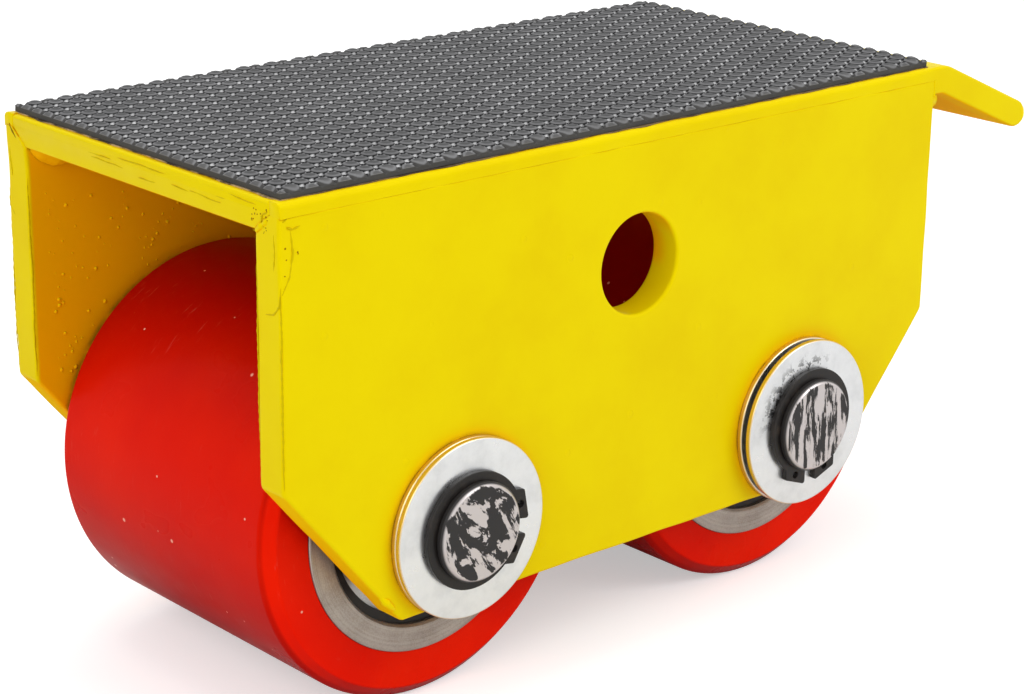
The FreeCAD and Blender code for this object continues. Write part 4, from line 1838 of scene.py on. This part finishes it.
@dataclass(frozen=True)
class SnapRing:
    """Snap ring with two lugs beside its gap, widest opposite it.

    Attributes:
        outwards: 1 if the lugs point outwards, or -1.
        back: Width opposite the gap.
        front: Width beside the lugs.
        lug_height: Height of the lugs.
        lug_width: Width of a lug.
        gap: Gap between the lugs.
        hole: Radius of the tool holes in the lugs.
        corner: Radius of the lugs' corners.
    """

    outwards: int
    back: float
    front: float
    lug_height: float
    lug_width: float
    gap: float
    hole: float
    corner: float = 0.55 * MM

    def loops(self, rim: float, middle: Vector, angle: float) -> list[Outline]:
        """The outline and the two tool holes, turned and in place.

        Args:
            rim: Radius of the side without lugs.
            middle: Middle of the ring.
            angle: Direction of the gap, in degrees.

        Returns:
            The outline first, then the holes.
        """
        half = self.gap / 2
        side = half + self.lug_width
        step = math.radians(3.0)
        lugged = rim + self.outwards * (self.back + self.front) / 2
        offset = self.outwards * (self.front - self.back) / 2
        lug = rim + self.outwards * self.lug_height

        def on(radius: float, height: float, shift: float = 0.0) -> Vector:
            """Point of a circle at a height beside the gap."""
            return Vector((shift + math.sqrt(radius**2 - height**2), height))

        plain = arc(Vector((0.0, 0.0)), on(rim, half), on(rim, -half), step)
        other = arc(Vector((offset, 0.0)), on(lugged, -side, offset), on(lugged, side, offset), step)
        corners = [(*point, 0.0) for point in plain]
        corners += [(*on(lug, height), self.corner) for height in (-half, -side)]
        corners += [(*point, 0.0) for point in other]
        corners += [(*on(lug, height), self.corner) for height in (side, half)]
        heights = [sign * (half + self.lug_width / 2) for sign in (-1, 1)]
        holes = [circle(*on((rim + lug) / 2, height), self.hole, 20) for height in heights]
        turn = Matrix.Rotation(math.radians(angle), 2)
        place = Vector((middle.x, middle.z))
        return [[turn @ point + place for point in loop] for loop in (rounded(corners, 4), *holes)]


@dataclass
class AxleSet:
    """One axle with the washers and circlips that hold it.

    Attributes:
        end: Which axle.
        wear: How its end faces have worn.
        gap_angle: Direction of its circlips' gaps, in degrees.
        body: The body that it is fixed to.
        chamfer: Chamfer at its ends.
        groove_depth: Depth of the circlips' grooves.
        groove_play: Room beside a circlip in its groove.
        washer_thickness: Thickness of a washer.
        washer_clearance: Room round the axle in a washer.
        clip: Shape of its circlips.
        clip_room: Room between a circlip and the bottom of its groove.
        smear: Strength of the black smear on the right washer.
    """

    end: End
    wear: Wear
    gap_angle: float
    body: str = "frame"
    chamfer: float = 0.7 * MM
    groove_depth: float = 0.5 * MM
    groove_play: float = 0.05 * MM
    washer_thickness: float = 1.25 * MM
    washer_clearance: float = 0.25 * MM
    clip: SnapRing = SnapRing(1, 2.6 * MM, 1.9 * MM, 3.8 * MM, 6.0 * MM, gap=3.0 * MM, hole=0.8 * MM)
    clip_room: float = 0.02 * MM
    smear: float = 0.0

    def __post_init__(self) -> None:
        """Reads the axle's places from the solids."""
        self.node = f"{self.end.value}_axle"
        self.low, self.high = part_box(self.node)
        self.middle = axis_of(self.node)
        self.radius = radius_of(self.node)

    def build(self) -> None:
        """Builds and dresses the axle, its washers and its circlips."""
        half_length = (self.high.y - self.low.y) / 2
        steel = WornAxleSteel(f"worn_{self.node}", "axle_steel", tuple(self.middle), half_length, self.wear)
        add_piece(f"worn_{self.node}", self.axle(), self.body, steel, self.node)
        for side in Side:
            place = f"{self.end.value}_{side.label}"
            smear = self.smear if side is Side.RIGHT else 0.0
            zinc = ZincPlate(f"zinc_{place}", "zinc_plate", tuple(self.middle), smear=smear)
            add_piece(f"zinc_{place}_washers", self.washers(side), self.body, zinc, f"{place}_washers")
            clip = f"{place}_circlip"
            add_piece(f"black_{clip}", self.circlip(side), self.body, BlackOxide(), clip)

    def axle(self) -> Mesh:
        """Turned axle with a groove and a chamfer at each end.

        Returns:
            The axle.
        """
        bottom = self.radius - self.groove_depth
        soft = 0.12 * MM
        corners = [(0.0, self.low.y, 0.0), (self.radius - self.chamfer, self.low.y, soft)]
        corners.append((self.radius, self.low.y + self.chamfer, soft))
        for side in Side:
            low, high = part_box(f"{self.end.value}_{side.label}_circlip")
            first, last = low.y - self.groove_play, high.y + self.groove_play
            corners += [(self.radius, first, soft), (bottom, first, 0.0)]
            corners += [(bottom, last, 0.0), (self.radius, last, soft)]
        corners.append((self.radius, self.high.y - self.chamfer, soft))
        corners += [(self.radius - self.chamfer, self.high.y, soft), (0.0, self.high.y, 0.0)]
        return lathe("axle_mesh", rounded(corners, 3, soft), self.middle, 96, closed=False)

    def washers(self, side: Side) -> Mesh:
        """The two washers of one axle end, each with a stamped edge.

        Args:
            side: Which end of the axle.

        Returns:
            Both washers.
        """
        node = f"{self.end.value}_{side.label}_washers"
        low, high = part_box(node)
        outer = radius_of(node)
        bore = self.radius + self.washer_clearance
        sharp, soft = 0.12 * MM, 0.3 * MM
        rings = []
        for start in (low.y, high.y - self.washer_thickness):
            end = start + self.washer_thickness
            corners = [(bore, start, sharp), (outer, start, soft), (outer, end, soft), (bore, end, sharp)]
            rings.append(lathe("washer_mesh", rounded(corners, 4, 0.15 * MM), self.middle, 128))
        return joined(rings, "washers_mesh")

    def circlip(self, side: Side) -> Mesh:
        """Circlip with two lugs, widest opposite its gap.

        Args:
            side: Which end of the axle.

        Returns:
            The circlip.
        """
        low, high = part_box(f"{self.end.value}_{side.label}_circlip")
        bore = self.radius - self.groove_depth + self.clip_room
        loops = self.clip.loops(bore, self.middle, self.gap_angle)
        return prism("circlip_mesh", loops, (low.y, high.y), 0.14 * MM, across_y)


@dataclass
class Roller:
    """A roller: red tyre on a steel hub, with its bearings, spacers and retaining rings.

    Attributes:
        end: Which roller.
        shoulder: Size of the tyre's broken shoulder.
        mid_bore: Radius of the hub's bore between its bearings.
        mouth_chamfer: Chamfer at the hub's mouths.
        ring: Shape of its retaining rings.
        ring_angle: Direction of their gaps, in degrees.
        ring_thickness: Thickness of a retaining ring.
        bearing_width: Width of a bearing.
        joint_room: Room that keeps the hub's faces off its neighbours'.
    """

    end: End
    shoulder: float = 2.5 * MM
    mid_bore: float = 20.0 * MM
    mouth_chamfer: float = 0.5 * MM
    ring: SnapRing = SnapRing(-1, 3.0 * MM, 2.3 * MM, 6.4 * MM, 5.4 * MM, gap=7.0 * MM, hole=1.25 * MM)
    ring_angle: float = 90.0
    ring_thickness: float = 1.75 * MM
    bearing_width: float = 14.0 * MM
    joint_room: float = 0.02 * MM

    def __post_init__(self) -> None:
        """Reads the roller's places from the solids."""
        self.body = f"{self.end.value}_roller"
        self.low, self.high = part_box(self.node("tyre"))
        self.hub_low, self.hub_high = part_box(self.node("hub"))
        self.middle = axis_of(self.node("hub"))
        self.race_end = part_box(self.node("outer_races"))[1].y
        self.ring_low, self.ring_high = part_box(self.node("retaining_rings"))

    def node(self, kind: str) -> str:
        """Name of one of this roller's nodes."""
        return f"{self.end.value}_{kind}"

    def build(self) -> None:
        """Builds and dresses the roller's pieces and what stands still in it."""
        middle = tuple(self.middle)
        tread = radius_of(self.node("tyre"))
        red = RedPolyurethane(f"red_{self.body}", "red_polyurethane", middle, tread)
        steel = TurnedSteel(f"turned_{self.body}", "hub_steel", middle)
        race = PressedSteel()
        shield = PressedSteel("pressed_shield_steel", "shield_steel", colour=(0.40, 0.40, 0.41, 1.0))
        grey = (0.5, 0.5, 0.5, 1.0)
        spacer = TurnedSteel(f"turned_{self.end.value}_spacer", "bearing_steel", middle, grey)
        add_piece(f"red_{self.node('tyre')}", self.tyre(), self.body, red, self.node("tyre"))
        add_piece(f"turned_{self.node('hub')}", self.hub(), self.body, steel, self.node("hub"))
        rings = self.node("retaining_rings")
        add_piece(f"black_{rings}", self.retaining_rings(), self.body, BlackOxide(), rings)
        for kind, finish, body in (
            ("outer_races", race, self.body),
            ("shields", shield, self.body),
            ("inner_races", race, "frame"),
            ("spacers", spacer, "frame"),
        ):
            node = self.node(kind)
            add_piece(f"soft_edged_{node}", self.plain_rings(kind), body, finish, node)

    def tyre(self) -> Mesh:
        """Tyre with broken, softened shoulders.

        Returns:
            The tyre.
        """
        bore, tread = radius_of(self.node("hub")), radius_of(self.node("tyre"))
        inner = tread - self.shoulder
        half = [
            (bore, self.high.y, 0.15 * MM),
            (inner, self.high.y, 0.9 * MM),
            (tread, self.high.y - self.shoulder, 0.9 * MM),
        ]
        profile = rounded(mirrored(half, self.low.y + self.high.y), 5, 0.12 * MM)
        return lathe("tyre_mesh", profile, self.middle, 224)

    def hub(self) -> Mesh:
        """Hub with its bearing seats, the grooves of the retaining rings and broken edges.

        Returns:
            The hub.
        """
        outer = radius_of(self.node("hub")) - self.joint_room
        seat = radius_of(self.node("outer_races"))
        groove = radius_of(self.node("retaining_rings")) + self.joint_room
        end = self.hub_high.y
        ring_face = self.ring_high.y
        groove_start = self.race_end
        seat_start = groove_start - self.bearing_width
        half = [
            (self.mid_bore, seat_start, 0.0),
            (seat, seat_start, 0.0),
            (seat, groove_start, 0.0),
            (groove, groove_start, 0.0),
            (groove, ring_face, 0.0),
            (seat, ring_face, 0.0),
            (seat, end - self.mouth_chamfer, 0.1 * MM),
            (seat + self.mouth_chamfer, end, 0.1 * MM),
            (outer, end, 0.25 * MM),
        ]
        profile = rounded(mirrored(half, self.hub_low.y + self.hub_high.y), 4, 0.08 * MM)
        return lathe("hub_mesh", profile, self.middle, 160)

    def retaining_rings(self) -> Mesh:
        """Retaining rings in both mouths of the hub, with their lugs inwards and upwards.

        Returns:
            Both rings.
        """
        rim = radius_of(self.node("retaining_rings"))
        loops = self.ring.loops(rim, self.middle, self.ring_angle)
        starts = (self.ring_low.y, self.ring_high.y - self.ring_thickness)
        spans = [(start, start + self.ring_thickness) for start in starts]
        rings = [prism("ring_mesh", loops, span, 0.15 * MM, across_y) for span in spans]
        return joined(rings, "retaining_rings_mesh")

    def plain_rings(self, kind: str) -> Mesh:
        """A pair of plain rings about the axle, one at each end, with soft edges.

        Args:
            kind: Which rings.

        Returns:
            Both rings.
        """
        node = self.node(kind)
        low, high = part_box(node)
        outer = radius_of(node)
        points = [vertex.co for vertex in frame["nodes"][node].data.vertices]
        bore = min(math.hypot(point.x - self.middle.x, point.z - self.middle.z) for point in points)
        centre = (low.y + high.y) / 2
        width = high.y - min(point.y for point in points if point.y > centre)
        soft = min(0.3 * MM, width / 5)
        rings = []
        for start in (low.y, high.y - width):
            corners = oblong((bore, start), (outer, start + width), soft)
            rings.append(lathe("ring_mesh", rounded(corners, 3, soft / 2), self.middle, 96))
        return joined(rings, f"{kind}_mesh")


@dataclass
class Studio:
    """White floor, soft lamps and the camera.

    Attributes:
        focal: Focal length, in millimetres.
        film_width: Width of the film, in millimetres.
        azimuth: Where the camera stands round the skate, in radians.
        elevation: How high it stands, in radians.
        roll: How far it leans, in radians.
        eye: Where it is.
        floor_reach: Half the floor's width.
        floor_colour: The floor's colour.
        near_glow: The floor's own glow round the skate, as the camera sees it.
        far_glow: Its glow far from the skate.
        sky: Strength of the light from all round.
    """

    focal: float = 90.69
    film_width: float = 36.0
    azimuth: float = -0.7316826
    elevation: float = 0.3210070
    roll: float = 0.0117587
    eye: Corner = (-0.35890, -0.38895, 0.22618)
    floor_reach: float = 4.0
    floor_colour: Colour = (0.82, 0.82, 0.82, 1.0)
    near_glow: float = 0.45
    far_glow: float = 0.6
    sky: float = 0.62

    def build(self) -> None:
        """Sets up the camera, the floor, the sky and the lamps."""
        bpy.context.scene.view_settings.view_transform = "Standard"
        self.camera()
        self.floor()
        self.world()
        self.lamp("key_lamp", Vector((0.55, -1.05, 0.95)), 0.9, 8.0)
        self.lamp("fill_lamp", Vector((-1.15, -0.35, 0.75)), 0.9, 5.5)
        self.lamp("top_lamp", Vector((0.1, 0.35, 1.4)), 1.0, 6.0)

    def camera(self) -> None:
        """Camera that sees the skate from its right front corner."""
        level = math.cos(self.elevation)
        east, south = math.sin(self.azimuth) * level, -math.cos(self.azimuth) * level
        back = Vector((east, south, math.sin(self.elevation)))
        right = (-back).cross(Vector((0.0, 0.0, 1.0))).normalized()
        down = (-back).cross(right)
        lean, upright = math.sin(self.roll), math.cos(self.roll)
        across = right * upright - down * lean
        up = -(right * lean + down * upright)
        data = bpy.data.cameras.new("camera")
        data.sensor_width = self.film_width
        data.sensor_fit = "HORIZONTAL"
        data.lens = self.focal
        data.clip_start = 0.01
        camera = in_scene("camera", data)
        turn = Matrix((across, up, back)).transposed().to_4x4()
        camera.matrix_world = Matrix.Translation(Vector(self.eye)) @ turn
        bpy.context.scene.camera = camera

    def floor(self) -> None:
        """Pale floor that keeps the skate's shadow and is white to the camera elsewhere."""
        reach = self.floor_reach
        corners = [(-reach, -reach, 0.0), (reach, -reach, 0.0), (reach, reach, 0.0), (-reach, reach, 0.0)]
        mesh = bpy.data.meshes.new("floor_mesh")
        mesh.from_pydata(corners, [], [(0, 1, 2, 3)])
        material = bpy.data.materials.new("pale_floor")
        material.use_nodes = True
        graph = Graph(material.node_tree)
        graph.tree.nodes.clear()
        paths = graph.put("ShaderNodeLightPath").outputs
        matt = graph.out("ShaderNodeBsdfDiffuse", {"Color": self.floor_colour})
        place = graph.put("ShaderNodeTexCoord").outputs["Object"]
        distance = graph.put("ShaderNodeVectorMath", {0: place}, operation="LENGTH").outputs["Value"]
        brightness = graph.ramp(distance, 0.25 * reach, 0.6 * reach, self.near_glow, self.far_glow)
        strength = graph.product(paths["Is Camera Ray"], brightness)
        glow = graph.out("ShaderNodeEmission", {"Strength": strength})
        whole = graph.out("ShaderNodeAddShader", {0: matt, 1: glow})
        graph.put("ShaderNodeOutputMaterial", {"Surface": whole})
        mesh.materials.append(material)
        in_scene("floor", mesh)

    def world(self) -> None:
        """Sky that is white where it is seen or mirrored, and a soft light elsewhere."""
        world = bpy.data.worlds.new("studio")
        world.use_nodes = True
        bpy.context.scene.world = world
        graph = Graph(world.node_tree)
        graph.tree.nodes.clear()
        paths = graph.put("ShaderNodeLightPath").outputs
        seen = graph.greatest(*(paths[f"Is {kind} Ray"] for kind in ("Camera", "Glossy", "Transmission")))
        strength = graph.math("MULTIPLY_ADD", seen, 1.0 - self.sky, self.sky)
        inputs = {"Color": (1.0, 1.0, 1.0, 1.0), "Strength": strength}
        sky = graph.out("ShaderNodeBackground", inputs)
        graph.put("ShaderNodeOutputWorld", {"Surface": sky})

    def lamp(self, name: str, place: Vector, size: float, power: float) -> None:
        """Large square lamp aimed at the skate.

        Args:
            name: The lamp's name.
            place: Where it hangs.
            size: Its width.
            power: Its power in watts.
        """
        data = bpy.data.lights.new(name, "AREA")
        data.size = size
        data.energy = power
        lamp = in_scene(name, data)
        lamp.location = place
        aim = Vector((0.0, 0.0, 0.05)) - place
        lamp.rotation_euler = aim.to_track_quat("-Z", "Y").to_euler()


def write_sizes() -> None:
    """Updates the scene so that every piece stands in its place."""
    bpy.context.view_layer.update()


def main() -> None:
    """Builds the studio and then every sub-assembly of the skate."""
    logging.basicConfig(level=logging.INFO, format="%(name)s: %(message)s")
    Studio().build()
    Weldment().build()
    GripMat().build()
    AxleSet(End.FRONT, Wear.BLOTCHED, gap_angle=-10.0).build()
    AxleSet(End.REAR, Wear.STRIPED, gap_angle=-90.0, smear=0.9).build()
    for end in End:
        Roller(end).build()
    write_sizes()


if __name__ == "__main__":
    main()
